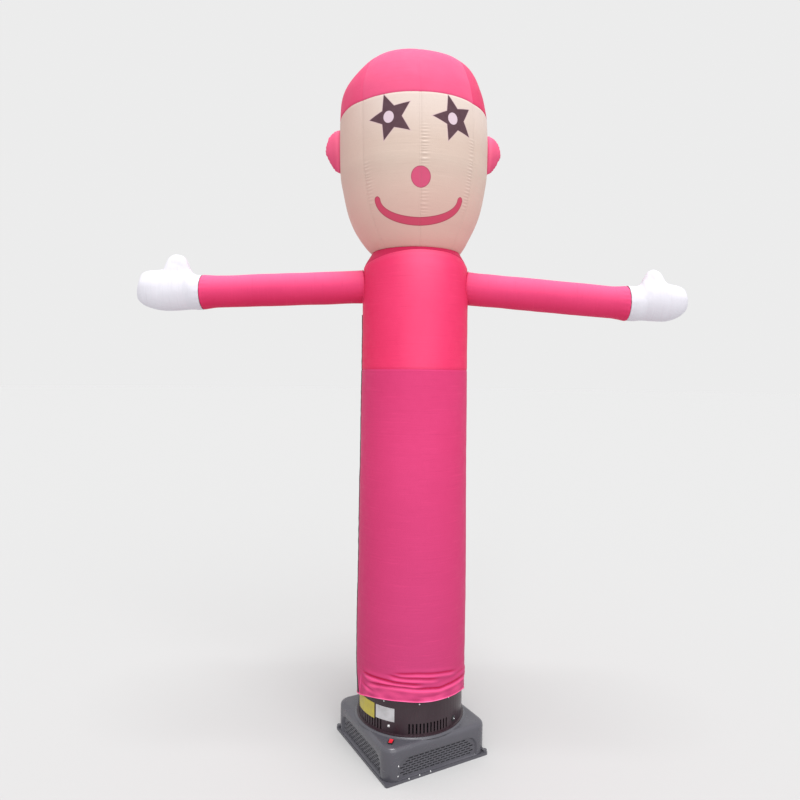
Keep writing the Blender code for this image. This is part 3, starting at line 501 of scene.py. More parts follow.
TUBE_TURNS = spread(-180.0, 180.0 - 1.44, 1.44)
ARM_TURNS = sorted(
    set(spread(-180.0, -126.0, 1.8) + spread(-126.0, -54.0, 0.9) + spread(-54.0, 54.0, 1.5)
        + spread(54.0, 126.0, 0.9) + spread(126.0, 178.2, 1.8))
)
LOWER_LEVELS = (
    [HEM, HEM + 0.0015]
    + spread(HEM + 0.004, 0.425, 0.0023)
    + spread(0.430, 0.470, 0.0050)
    + spread(0.480, PANEL_SEAM - 0.022, 0.0152)
    + [PANEL_SEAM - d for d in (0.016, 0.011, 0.007, 0.0045, 0.0025, 0.001, 0.0)]
)
UPPER_LEVELS = (
    [PANEL_SEAM + d for d in (0.0, 0.001, 0.0025, 0.0045, 0.007, 0.011, 0.016)]
    + spread(PANEL_SEAM + 0.024, 1.88, 0.014)[:-1]
    + spread(1.88, SHOULDER - 0.006, 0.0055)
    + [SHOULDER - d for d in (0.004, 0.0025, 0.001, 0.0)]
)
YOKE_LEVELS = [SHOULDER + d for d in (0.0, 0.001, 0.0025, 0.0045, 0.008, 0.013, 0.019, 0.025, 0.029, 0.033)]

lower = sewn_skin("tube_lower_panel", TUBE_TURNS, LOWER_LEVELS, tube_place, tube_map, tone=fold_painted_light)
upper = sewn_skin("tube_upper_panel", ARM_TURNS, UPPER_LEVELS, tube_place, tube_map, tone=upper_painted_light)
yoke = sewn_skin("shoulder_yoke_cloth", TUBE_TURNS, YOKE_LEVELS, tube_place, tube_map)
for panel in (lower, upper, yoke):
    thicken(panel)

# %% [markdown]
# ## The head
# Eight gores make the head. Each swells a little between its seams. The thread is tight, so beside the
# seams the cloth stands in short ripples, most of all beside the nose and on both cheeks. The cap is
# the same pattern in pink, sewn on along a tilted seam, and its crown is slack and a little dented.

# %% Where the head's cloth lies
CAP_LUMPS = (
    (-68, 2.864, 0.072, -0.025),
    (-95, 2.870, 0.060, -0.012),
    (92, 2.920, 0.060, -0.010),
    (90, 2.850, 0.060, 0.006),
    (-14, 2.908, 0.060, -0.006),
    (24, 2.905, 0.065, -0.013),
    (170, 2.890, 0.090, -0.010),
)
# Beside some seams: the seam's number, the side, the lowest and highest ripple, and their depth.
RIPPLED = (
    (0, 1, 2.405, 2.545, 0.0025),
    (0, 1, 2.215, 2.320, 0.0023),
    (-1, 1, 2.255, 2.425, 0.0023),
    (1, -1, 2.245, 2.520, 0.0023),
    (3, 1, 2.230, 2.480, 0.0014),
    (4, -1, 2.260, 2.540, 0.0014),
    (-3, 1, 2.240, 2.500, 0.0014),
)
RIPPLE_PITCH = 0.0125
DEEPEST_RIPPLE = 0.0025
SEAM_REACH = 0.110
HEAD_MIDDLE = Vector((-0.012, 0.0, 2.60))


def tilt(azimuth):
    """How much higher the cap's seam lies here than a level line: it is high in front."""
    return 0.010 * math.cos(math.radians(azimuth - 10.0))


def tilted(azimuth, level):
    """The height of a level ring, tilted like the cap's seam where it is near that seam."""
    return level + tilt(azimuth) * max(0.0, 1.0 - abs(level - CAP_SEAM) / SEAM_REACH)


def seam_level(azimuth):
    return along(CAP_SEAM_HEIGHTS, wrapped(azimuth)) - tilt(azimuth)


def nearest_gore(azimuth):
    """The nearest gore seam's number, and the turn from it."""
    number = round(wrapped(azimuth - GORE_SEAM) / (360 / GORES))
    return (number + 3) % GORES - 3, wrapped(azimuth - GORE_SEAM - number * 360 / GORES)


def gore_ripples(azimuth, height, radius):
    """The short level ripples on one side of a seam, where that gore was gathered in."""
    number, turn = nearest_gore(azimuth)
    away = math.radians(turn) * radius
    depth = 0.0
    for seam, side, low, high, size in RIPPLED:
        if seam == number and low - 0.03 < height < high + 0.03:
            ends = clamp((height - low + 0.02) / 0.04)
            ends *= clamp((high + 0.02 - height) / 0.04)
            phase = height / RIPPLE_PITCH + 0.7 * noise.noise(Vector((seam * 3.1, height * 30, side)))
            phase += 5.0 * away * noise.noise(Vector((seam * 2.3, height * 14, 4.0)))
            size *= 0.65 + 0.7 * noise.noise(Vector((seam * 5.3, height * 22, 9.0)))
            depth += size * ends * math.sin(2 * math.pi * phase) * bump(away * side - 0.015, 0.012)
    return depth


def head_surface(azimuth, level):
    """A point of the head's skin for a level of the outline, from the neck to the crown."""
    rows = FACE if level <= CAP_SEAM else CAP
    radius = along(rows, level)
    strength = min(1.0, (level - NECK) / 0.100)
    wave = abs(math.sin(math.radians(azimuth - GORE_SEAM) * GORES / 2)) ** 0.8
    radius *= 1.0 + GORE_BULGE * strength * (wave - 0.35)
    height = tilted(azimuth, level)
    radius += 0.0012 * round_noise(azimuth, 1.6, level * 5.0)
    radius -= 0.0010 * bump(math.radians(nearest_gore(azimuth)[1]) * radius, 0.0035)
    if level < 2.60:
        radius += gore_ripples(azimuth, height, radius)
    point = outline_point(rows, azimuth, level, radius)
    point.z = height
    if level <= CAP_SEAM:
        return point
    push = 0.0
    for turn, lump_height, width, size in CAP_LUMPS:
        spot = outline_point(CAP, turn, lump_height, along(CAP, lump_height))
        push += size * bump((point - spot).length, width)
    outward = (point - HEAD_MIDDLE).normalized()
    return point + outward * push * min(1.0, (level - CAP_SEAM) / 0.080)


def drawn_in(point, distance):
    """The point moved towards the head's upright axis, where a seam's thread pulls."""
    return point - Vector((point.x, point.y, 0)).normalized() * distance


def face_level(azimuth, share):
    """share runs from 0 at the neck to 1 at the tilted cap seam."""
    return NECK + share * (seam_level(azimuth) - NECK)


def face_place(azimuth, share):
    azimuth = wrapped(azimuth)
    point = head_surface(azimuth, face_level(azimuth, share))
    return drawn_in(point, 0.0018 * bump((1 - share) * 0.55, 0.004) + 0.0015 * bump(share * 0.55, 0.004))


def cap_place(azimuth, share):
    """share runs from 0 at the seam to 1 at the crown, in smaller and smaller steps upwards."""
    azimuth = wrapped(azimuth)
    low = seam_level(azimuth)
    point = head_surface(azimuth, low + (CAP[-1][0] - low) * (1 - (1 - share) ** 2))
    return drawn_in(point, 0.0014 * bump(share * 0.50, 0.004))


def face_painted_light(azimuth, share):
    """Painted highlight on the ripples' crests, painted shade in their troughs, and lighter along the cap's
    seam.
    """
    level = NECK + share * (CAP_SEAM - NECK)
    crest = gore_ripples(azimuth, level, along(FACE, level)) / DEEPEST_RIPPLE
    return 0.30 * bump((1 - share) * 0.55 - 0.002, 0.004) + (0.9 if crest > 0 else 0.35) * crest


def cap_painted_light(azimuth, share):
    """Painted light on the crown, and painted shade on the side gores and round the back, deepest on the
    right.
    """
    tone = 0.38 * min(1.0, share / 0.5)
    left = azimuth - GORE_SEAM + 45
    right = azimuth - GORE_SEAM - 45
    if left > 0 > right:
        return tone
    if 0 <= right and azimuth <= 95:
        return tone - 0.50 - 0.50 * min(1.0, right / 45)
    if left <= 0 and azimuth >= -85:
        return tone - 0.24 - 0.22 * min(1.0, -left / 45)
    behind = abs(wrapped(azimuth - 180)) / 90
    return tone - 0.40 - (0.60 if azimuth > 0 else 0.06) * min(1.0, behind)


def face_map(azimuth, share):
    """Metres round the head from the face's middle, and metres up from the floor."""
    return math.radians(azimuth - FACE_MIDDLE) * MAP_RADIUS, tilted(azimuth, face_level(azimuth, share))


def cap_map(azimuth, share):
    return math.radians(azimuth) * 0.31 * (1 - 0.5 * share), share * 0.45


FACE_MIDDLE = 4.0
MAP_RADIUS = 0.31
GORE_STEPS = 22
HEAD_TURNS = sorted(
    -180.0 + (GORE_SEAM % 45) + 45.0 * gore
    + 45.0 * (t / GORE_STEPS - 0.11 * math.sin(2 * math.pi * t / GORE_STEPS))
    for gore in range(GORES)
    for t in range(GORE_STEPS)
)
FACE_SHARES = sorted(set(spread(0.012, 0.985, 0.0052) + [0.0, 0.003, 0.007, 0.990, 0.994, 0.997, 1.0]))
CAP_SHARES = sorted(set([0.0, 0.003, 0.007] + spread(0.012, 0.96, 0.020)))

face = sewn_skin("face_gores", HEAD_TURNS, FACE_SHARES, face_place, face_map, tone=face_painted_light)
crown = head_surface(0, CAP[-1][0])
cap = sewn_skin("cap_gores", HEAD_TURNS, CAP_SHARES, cap_place, cap_map, pole=crown, tone=cap_painted_light)
for panel in (face, cap):
    thicken(panel)

# %% [markdown]
# ## Ears, sleeves and mitts
# An ear is half of a flat ball whose open rim is sewn to the head. A sleeve is a plain tube that starts
# on the tube's curved side. A mitt is lofted through measured sections: an oval palm, with the thumb's
# own thinner oval standing on it. Their seams run round the outline, where the cloth puckers.

# %% Ears
EARS = {
    "left": {"sign": -1, "height": 2.552, "out": 0.0625, "up": 0.090, "depth": 0.030, "taper": 0.40},
    "right": {"sign": 1, "height": 2.539, "out": 0.0585, "up": 0.080, "depth": 0.030, "taper": 0.35},
}


def face_outwards(piece):
    """Turns a skin's faces away from its middle if they point inwards."""
    centre = sum((v.co for v in piece.data.vertices), Vector()) / len(piece.data.vertices)
    total = sum(f.area * f.normal.dot(f.center - centre) for f in piece.data.polygons)
    if total < 0:
        piece.data.flip_normals()


def ear_direction(ear, turn, lift):
    """A way out from the ear's middle, and the uneven ripple of the gathered rim there."""
    t, e = math.radians(turn), math.radians(lift)
    across, up, out = math.cos(e) * math.sin(t), math.cos(e) * math.cos(t), math.sin(e)
    round_rim = math.atan2(out, up)
    uneven = noise.noise(Vector((round_rim * 3, ear["sign"] * 4.0, 0)))
    return across, up, out, uneven, math.sin(round_rim * 34 + 5 * uneven)


def ear_place(ear, turn, lift):
    """A point of the ear: lift runs from 0 at the rim on the head to 90 at the tip."""
    across, up, out, uneven, ripple = ear_direction(ear, turn, lift)
    rim = bump(across * ear["depth"], 0.009)
    size = 1.0 + rim * (0.012 + 0.030 * ripple * (0.6 + uneven)) * min(1.0, out * 3 + 0.1)
    size += 0.025 * noise.noise(Vector((across * 2, up * 3, out * 3 + ear["sign"] * 7)))
    if up < 0:
        ease = min(1.0, -up / 0.30)
        ease *= ease * (3 - 2 * ease)
        out *= 1.0 - ear["taper"] * ease * (1.0 - math.sqrt((1 + up) / (1 - up)))
    y = across * ear["depth"]
    z = ear["height"] + up * ear["up"] * size
    azimuth = 90.0 * ear["sign"]
    for _ in range(3):
        on_head = head_surface(azimuth, z)
        distance = math.hypot(on_head.x - along(FACE, z, 2), on_head.y)
        azimuth = ear["sign"] * (90.0 + math.degrees(math.asin(y / distance)))
    return (head_surface(azimuth, z).x + ear["sign"] * (-0.0015 + out * ear["out"] * size), y, z)


def ear_painted_light(ear, turn, lift):
    """Painted shade against the head and underneath, painted light on top, and painted highlights uneven
    along the gathered rim.
    """
    across, up, _, _, ripple = ear_direction(ear, turn, lift)
    total = 0.20 + 0.35 * up + 0.45 * ripple * bump(across * ear["depth"], 0.010)
    total += 0.45 * bump(lift - 14, 9.0) - 0.9 * bump(lift, 4.0)
    return max(-1.0, min(1.0, total))


def ear_map(turn, lift):
    return math.radians(turn) * 0.05, lift / 90 * 0.09


EAR_TURNS = spread(0, 355, 5.0)
EAR_LIFTS = spread(0, 86.5, 3.0)
ears = {}
for side, ear in EARS.items():
    tip = ear_place(ear, 0, 90)
    ears[side] = sewn_skin(
        "ear_cloth_" + side,
        EAR_TURNS,
        EAR_LIFTS,
        lambda turn, lift: ear_place(ear, turn, lift),
        ear_map,
        pole=tip,
        tone=lambda turn, lift: ear_painted_light(ear, turn, lift),
    )
    face_outwards(ears[side])
    thicken(ears[side])

# %% Sleeves
SLEEVE = (
    (0.000, 0.0695),
    (0.050, 0.0692),
    (0.500, 0.0690),
    (0.900, 0.0680),
    (0.965, 0.0715),
    (1.000, 0.0740),
)


def sleeve_length(arm):
    return arm["wrist"] - 0.220


def sleeve_place(arm, turn, share):
    """share runs from 0 at the armhole, on the tube's curved side, to 1 at the wrist."""
    t = math.radians(turn)
    radius = along(SLEEVE, share)
    from_root, from_wrist = share * sleeve_length(arm), (1 - share) * sleeve_length(arm)
    uneven = round_noise(turn, 2, arm["sign"] * 3)
    radius += 0.0010 * math.sin(t * 24 + 4 * uneven) * bump(from_root - 0.012, 0.018) * (0.6 + uneven)
    radius += 0.0011 * math.sin(t * 21 + 5 * uneven) * bump(from_wrist - 0.012, 0.022) * (0.7 + uneven)
    radius -= 0.0016 * bump(from_wrist, 0.0035) + 0.0018 * bump(from_root, 0.004)
    radius += 0.0016 * round_noise(turn, 0.9, share * 7 + arm["sign"] * 5)
    radius -= 0.0010 * bump(wrapped(turn - 180) * math.pi / 180 * radius, 0.003)
    across = radius * math.sin(t)
    root = math.sqrt((ROOT_TUBE - 0.002) ** 2 - across**2) + arm["sign"] * 0.004
    out = root + share * (arm["wrist"] - root)
    middle = arm["root"] - (out - 0.200) * arm["fall"]
    return (arm["sign"] * out, across, middle + radius * math.cos(t))


def sleeve_map(turn, share):
    """Metres round a sleeve and along it."""
    return math.radians(turn) * 0.069, share * 0.705


SLEEVE_TURNS = spread(0, 356, 4.0)
SLEEVE_SHARES = sorted(set(
    [0.0, 0.004, 0.009] + spread(0.015, 0.075, 0.006) + spread(0.085, 0.90, 0.0125)
    + spread(0.91, 0.985, 0.006) + [0.990, 0.995, 1.0]
))
sleeves = {}
# Each sleeve is painted lighter on top and darker underneath: painted light and painted shade.
for side, arm in ARMS.items():
    sleeves[side] = sewn_skin(
        "sleeve_" + side,
        SLEEVE_TURNS,
        SLEEVE_SHARES,
        lambda turn, share: sleeve_place(arm, turn, share),
        sleeve_map,
        tone=lambda turn, share: arm["painted_tones"][0] + arm["painted_tones"][1] * math.cos(math.radians(turn)),
    )
    face_outwards(sleeves[side])
    thicken(sleeves[side])

# %% Mitts
# Sections across each hand: how far out, its top, its bottom and half its depth.
HANDS = {
    "left": (
        (0.9083, 2.0275, 1.8797, 0.0738), (0.9258, 2.0262, 1.8785, 0.0725),
        (0.9450, 2.0300, 1.8800, 0.0700), (0.9630, 2.0520, 1.8800, 0.0660),
        (0.9780, 2.0880, 1.8785, 0.0640), (0.9980, 2.1080, 1.8765, 0.0660),
        (1.0275, 2.1138, 1.8745, 0.0660), (1.0520, 2.1040, 1.8738, 0.0660),
        (1.0680, 2.0780, 1.8737, 0.0660), (1.0800, 2.0520, 1.8745, 0.0640),
        (1.1050, 2.0460, 1.8780, 0.0650), (1.1380, 2.0440, 1.8860, 0.0600),
        (1.1640, 2.0360, 1.8970, 0.0500), (1.1810, 2.0040, 1.9100, 0.0350),
        (1.1930, 1.9600, 1.9240, 0.0120),
    ),
    "right": (
        (0.9013, 1.9940, 1.8464, 0.0738), (0.9278, 1.9918, 1.8450, 0.0722),
        (0.9450, 1.9920, 1.8465, 0.0700), (0.9600, 2.0000, 1.8480, 0.0660),
        (0.9740, 2.0270, 1.8480, 0.0640), (0.9900, 2.0520, 1.8470, 0.0660),
        (1.0125, 2.0616, 1.8455, 0.0660), (1.0380, 2.0530, 1.8445, 0.0660),
        (1.0530, 2.0330, 1.8441, 0.0660), (1.0650, 2.0080, 1.8445, 0.0640),
        (1.0870, 2.0000, 1.8490, 0.0650), (1.1150, 1.9940, 1.8590, 0.0600),
        (1.1370, 1.9830, 1.8740, 0.0500), (1.1490, 1.9560, 1.8880, 0.0350),
        (1.1545, 1.9290, 1.9050, 0.0120),
    ),
}
PALM = 0.168
THUMB_DEPTH = 0.036
# Creases on the front of each mitt: out and height at both ends, and the depth.
MITT_CREASES = {
    "left": (
        (1.038, 2.074, 1.004, 2.064, 0.0028),
        (1.004, 2.064, 0.980, 2.050, 0.0028),
        (1.016, 2.042, 0.972, 2.035, 0.0032),
        (0.972, 2.035, 0.960, 2.026, 0.0028),
        (0.970, 2.021, 0.990, 2.006, 0.0028),
        (0.990, 2.006, 1.002, 1.987, 0.0026),
        (1.002, 1.987, 1.004, 1.965, 0.0020),
    ),
    "right": (
        (0.936, 1.959, 0.966, 1.928, 0.0028),
        (0.947, 1.970, 0.983, 1.944, 0.0028),
        (0.961, 2.040, 0.958, 2.013, 0.0026),
        (0.958, 2.013, 0.967, 2.006, 0.0022),
        (0.992, 2.038, 1.002, 2.018, 0.0022),
    ),
}


def near_line(x, z, crease):
    """How far a point is from a crease's line."""
    x1, z1, x2, z2, _ = crease
    run, rise = x2 - x1, z2 - z1
    t = clamp(((x - x1) * run + (z - z1) * rise) / (run * run + rise * rise))
    return math.hypot(x - x1 - t * run, z - z1 - t * rise)


def mitt_place(side, turn, out):
    """A point at a turn round the hand: 0 is its upper edge, 90 the middle of its back."""
    rows = HANDS[side]
    top, bottom, depth = along(rows, out, 1), along(rows, out, 2), along(rows, out, 3)
    middle, half = (top + bottom) / 2, (top - bottom) / 2
    palm_half = min(half, PALM / 2)
    palm_middle = bottom + palm_half
    a = math.radians(turn)
    up = middle + half * math.cos(a)
    palm = max(0.0, 1.0 - ((up - palm_middle) / palm_half) ** 2)
    across = max(depth * math.sqrt(palm), min(depth, THUMB_DEPTH) * abs(math.sin(a)))
    across -= sum(c[4] * bump(near_line(out, up, c), 0.0055) for c in MITT_CREASES[side])
    cuff = bump(out - rows[0][0], 0.020)
    uneven = round_noise(turn, 2, out * 6)
    across += 0.0016 * uneven + 0.0012 * math.sin(a * 19 + 5 * uneven) * cuff
    across = math.copysign(max(across, 0.0), math.sin(a)) if turn % 180 else 0.0
    sign = ARMS[side]["sign"]
    rim = bump(across, 0.007) * min(1.0, (out - rows[0][0]) / 0.03)
    ripple = math.sin(out * 620 + 3 * noise.noise(Vector((out * 30, sign, up * 20))))
    up += math.copysign(rim * (0.0012 + 0.0011 * ripple), math.cos(a))
    return (sign * out, across, up)


def mitt_map(turn, out):
    return math.radians(turn) * 0.08, out


MITT_TURNS = spread(0, 355, 5.0)
mitts = {}
for side, rows in HANDS.items():
    first, last = rows[0][0] - 0.0004, rows[-1][0]
    outs = spread(first, last - 0.030, 0.0042)[:-1] + spread(last - 0.030, last, 0.0020)
    end = (ARMS[side]["sign"] * (last + 0.0012), 0.0, (rows[-1][1] + rows[-1][2]) / 2)
    mitts[side] = sewn_skin(
        "mitt_" + side,
        MITT_TURNS,
        outs,
        lambda turn, out: mitt_place(side, turn, out),
        mitt_map,
        pole=end,
    )
    face_outwards(mitts[side])
    soften = mitts[side].modifiers.new("Soften", "SMOOTH")
    soften.factor = 0.5
    soften.iterations = 3
    apply_modifiers(mitts[side])
    thicken(mitts[side])

# %% [markdown]
# ## Seams and trim on the cloth
# A rolled seam runs round each armhole, and a narrow dark zip closes the tube's left side, where the
# cloth is opened to let the air out. Both are small, but they draw the lines that the eye expects.

# %% Armhole seams and side zip
def finish_piece(piece, name):
    """Names the piece, leaves its place in its mesh and shades it smooth up to 35 degrees."""
    pick(piece)
    bpy.ops.object.transform_apply(location=True, rotation=True, scale=True)
    bpy.ops.object.shade_smooth_by_angle(angle=math.radians(35))
    nothing_selected()
    piece.name = name
    piece.data.name = name
    return piece


armhole_seams = {}
for side, arm in ARMS.items():
    nothing_selected()
    bpy.ops.mesh.primitive_torus_add(
        major_radius=ARM_RADIUS + 0.0004,
        minor_radius=0.0017,
        major_segments=112,
        minor_segments=10,
        location=(0, 0, arm["root"]),
        rotation=(0, math.pi / 2, 0),
    )
    seam = finish_piece(bpy.context.object, "armhole_seam_" + side)
    for vertex in seam.data.vertices:
        out = math.sqrt(ROOT_TUBE**2 - vertex.co.y**2) + arm["sign"] * 0.004
        turn = math.atan2(vertex.co.y, vertex.co.z - arm["root"])
        vertex.co.x = arm["sign"] * (out + 0.0004) + vertex.co.x * (1 + 0.25 * math.sin(turn * 30))
    armhole_seams[side] = seam

ZIP_AZIMUTH = -86.5
ZIP_FOOT_TURN = 16.5
ZIP_FOOT_WIDER = 2.6
# Round the zip's section: how far out it stands, as a share, and how far to the side.
ZIP_SECTION = ((0, -0.0045), (0.25, -0.0036), (1, -0.0010), (1, 0.0010), (0.25, 0.0036), (0, 0.0045))
ZIP_LEVELS = spread(HEM + 0.006, 1.86, 0.006)


def zip_edge(level, out, side):
    """A point of the zip's folded edge: how far it stands out, and on which face of it."""
    uneven = noise.noise(Vector((level * 9, 0, 2)))
    foot = max(0.0, 1.0 - (level - HEM) / 0.110)
    side *= 1.0 + ZIP_FOOT_WIDER * min(1.0, 2.4 * foot)
    azimuth = ZIP_AZIMUTH + ZIP_FOOT_TURN * foot**0.55 + 0.5 * uneven
    x, y, z = tube_place(azimuth + math.degrees(side / 0.235), level)
    a = math.radians(azimuth)
    out_way = Vector((math.sin(a), -math.cos(a), 0))
    stand = out * (0.0030 + 0.0010 * noise.noise(Vector((level * 40, 3, 2)))) * (1.0 - 0.6 * foot)
    return Vector((x, y, z)) + out_way * (stand + (0.0020 * foot - 0.0008) * (1 - out))


zip_mesh = bmesh.new()
zip_rows = []
for level in ZIP_LEVELS:
    zip_rows.append([
        zip_mesh.verts.new(zip_edge(level, out, side))
        for out, side in ZIP_SECTION
    ])
for low, high in zip(zip_rows, zip_rows[1:]):
    for i in range(len(ZIP_SECTION)):
        j = (i + 1) % len(ZIP_SECTION)
        zip_mesh.faces.new((low[i], low[j], high[j], high[i]))
zip_mesh.faces.new(zip_rows[0])
zip_mesh.faces.new(reversed(zip_rows[-1]))
bmesh.ops.recalc_face_normals(zip_mesh, faces=zip_mesh.faces)
side_zip = add_object("side_zip", bpy.data.meshes.new("side_zip"))
zip_mesh.to_mesh(side_zip.data)
zip_mesh.free()
side_zip.data.shade_smooth()
print("zip rows", len(zip_rows))

# %% [markdown]
# ## The blower's housing
# The housing is one moulded plastic shell with big soft corners. It starts as a cube. Its upright edges
# and its top rim are bevelled, the inside is cut out, and each side gets a recess full of short level
# slots in staggered rows, through which the fan draws its air.

# %% Housing
HOUSING_TURN = math.radians(30)
HOUSING_HALF = 0.241
HOUSING_LOW = 0.0118
HOUSING_TOP = 0.142
WALL = 0.0045
CORNER = 0.050
EDGE = 0.019
RECESS = {"width": 0.366, "low": 0.0158, "top": 0.092, "depth": 0.010, "corner": 0.045}
SLOT = (0.0195, 0.0050)
SLOT_PITCH = (0.0252, 0.0100)


def cube(name, size, location):
    """A cube primitive scaled in edit mode, left in edit mode with all of it selected."""
    nothing_selected()
    bpy.ops.mesh.primitive_cube_add(size=1, location=location)
    bpy.context.object.name = name
    bpy.ops.object.mode_set(mode="EDIT")
    bpy.ops.transform.resize(value=size)
    return bpy.context.object


def bevel_edges(piece, picks, radius, segments):
    """Bevels the edges that picks(a, b) chooses, given both ends of each edge."""
    bpy.ops.mesh.select_mode(type="EDGE")
    bpy.ops.mesh.select_all(action="DESELECT")
    bpy.ops.object.mode_set(mode="OBJECT")
    for edge in piece.data.edges:
        a, b = (piece.data.vertices[i].co for i in edge.vertices)
        edge.select = picks(a, b)
    bpy.ops.object.mode_set(mode="EDIT")
    bpy.ops.mesh.bevel(offset=radius, segments=segments, affect="EDGES")


def upright(a, b):
    return abs(a.z - b.z) > 0.02 and (a.xy - b.xy).length < 1e-4


def top_rim(top):
    return lambda a, b: a.z > top - 1e-4 and b.z > top - 1e-4


def turned_to(piece, angle):
    """Leaves edit mode, turns the piece round the upright axis and keeps that in its mesh."""
    bpy.ops.object.mode_set(mode="OBJECT")
    bpy.ops.object.transform_apply(location=True, rotation=True, scale=True)
    piece.data.transform(Matrix.Rotation(angle, 4, "Z"))
    return piece


def cut_with(piece, cutter, operation="DIFFERENCE"):
    boolean = piece.modifiers.new(cutter.name, "BOOLEAN")
    boolean.operation = operation
    boolean.solver = "EXACT"
    boolean.object = cutter
    apply_modifiers(piece)
    bpy.data.objects.remove(cutter, do_unlink=True)


tall = HOUSING_TOP - HOUSING_LOW
shell = cube("blower_housing", (2 * HOUSING_HALF, 2 * HOUSING_HALF, tall), (0, 0, HOUSING_LOW + tall / 2))
bevel_edges(shell, upright, CORNER, 12)
bevel_edges(shell, top_rim(tall / 2), EDGE, 7)
turned_to(shell, HOUSING_TURN)

inner_half = HOUSING_HALF - WALL
inner_tall = tall - WALL + 0.010
inside = cube(
    "inside", (2 * inner_half, 2 * inner_half, inner_tall), (0, 0, HOUSING_LOW - 0.010 + inner_tall / 2)
)
bevel_edges(inside, upright, CORNER - WALL, 8)
bevel_edges(inside, top_rim(inner_tall / 2), EDGE - 0.003, 4)
turned_to(inside, HOUSING_TURN)
back = HOUSING_HALF - RECESS["depth"] - 0.003
for side in range(4):
    pad = cube("pad", (RECESS["width"] + 0.010, 0.030, 0.118), (0, -(back + 0.015), 0.038))
    cut_with(inside, turned_to(pad, HOUSING_TURN + side * math.pi / 2))
cut_with(shell, inside)


def slot_rows():
    """The middle of every slot of one louvre panel, as (along, height)."""
    rows = []
    height = RECESS["low"] + 0.0085
    row = 0
    while height < RECESS["top"] - 0.006:
        under_top = RECESS["top"] - height - 0.003
        reach = RECESS["width"] / 2 - 0.006
        if under_top < RECESS["corner"]:
            reach -= RECESS["corner"] - math.sqrt(
                RECESS["corner"] ** 2 - (RECESS["corner"] - under_top) ** 2
            )
        place = -SLOT_PITCH[0] * 8 + (row % 2) * SLOT_PITCH[0] / 2
        while place < reach:
            if abs(place) + SLOT[0] / 2 < reach:
                rows.append((place, height))
            place += SLOT_PITCH[0]
        height += SLOT_PITCH[1]
        row += 1
    return rows


def widen_mouth(recess, tall_recess):
    """Makes the cutter's outer end larger, so that the recess has a wide sloping rim."""
    bpy.ops.mesh.select_all(action="DESELECT")
    bpy.ops.object.mode_set(mode="OBJECT")
    for vertex in recess.data.vertices:
        vertex.select = vertex.co.y < 0
    for edge in recess.data.edges:
        edge.select = all(recess.data.vertices[i].select for i in edge.vertices)
    bpy.ops.object.mode_set(mode="EDIT")
    bpy.ops.transform.resize(
        value=((RECESS["width"] + 0.044) / RECESS["width"], 1, (tall_recess + 0.030) / tall_recess)
    )
    bpy.ops.transform.translate(value=(0, 0, 0.007))


slots = slot_rows()
for side in range(4):
    tall_recess = RECESS["top"] - RECESS["low"]
    recess = cube(
        "recess",
        (RECESS["width"], 0.040, tall_recess),
        (0, -(HOUSING_HALF - RECESS["depth"] + 0.020), RECESS["low"] + tall_recess / 2),
    )
    bevel_edges(
        recess,
        lambda a, b: abs(a.y - b.y) > 0.01 and a.z > 0 and b.z > 0,
        RECESS["corner"],
        9,
    )
    widen_mouth(recess, tall_recess)
    cut_with(shell, turned_to(recess, HOUSING_TURN + side * math.pi / 2))

    first = slots[0]
    louvres = cube("louvres", (SLOT[0], 0.030, SLOT[1]), (first[0], -HOUSING_HALF + 0.010, first[1]))
    now = first
    for place in slots[1:]:
        bpy.ops.mesh.duplicate_move(
            TRANSFORM_OT_translate={"value": (place[0] - now[0], 0, place[1] - now[1])}
        )
        now = place
    cut_with(shell, turned_to(louvres, HOUSING_TURN + side * math.pi / 2))
print(len(slots), "slots a side;", len(shell.data.polygons), "faces")

soft_edges = shell.modifiers.new("Edges", "BEVEL")
soft_edges.width = 0.0012
soft_edges.segments = 2
soft_edges.limit_method = "ANGLE"
soft_edges.angle_limit = math.radians(50)
soft_edges.use_clamp_overlap = True
apply_modifiers(shell)
finish_piece(shell, "blower_housing")
print("housing", len(shell.data.polygons), "faces")

# %% [markdown]
# Behind each louvre panel lies a thin dark sheet, which is what the eye meets through the slots. It is
# painted shade, standing in for the dark inside of the housing.

# %% Dark sheets behind the slots
SCREEN = {"width": 0.340, "low": 0.020, "top": 0.089, "thick": 0.0008, "behind": 0.0008}
screens = []
for side in range(4):
    tall_screen = SCREEN["top"] - SCREEN["low"]
    inwards = back - SCREEN["behind"] - SCREEN["thick"] / 2
    screen = cube(
        "screen",
        (SCREEN["width"], SCREEN["thick"], tall_screen),
        (0, -inwards, SCREEN["low"] + tall_screen / 2),
    )
    screens.append(turned_to(screen, HOUSING_TURN + side * math.pi / 2))
print(len(screens), "dust screens")

# %% [markdown]
# ## Seat, screws and rivets
# The duct stands in a low round seat on the housing. Small bright screws hold the louvre panels and the
# base, small rivets sit round the duct below the hem, and a black cap closes a hole in the duct.

# %% Seat ring
DUCT_R = 0.225
SEAT_START = (0.2405, 0.1405)
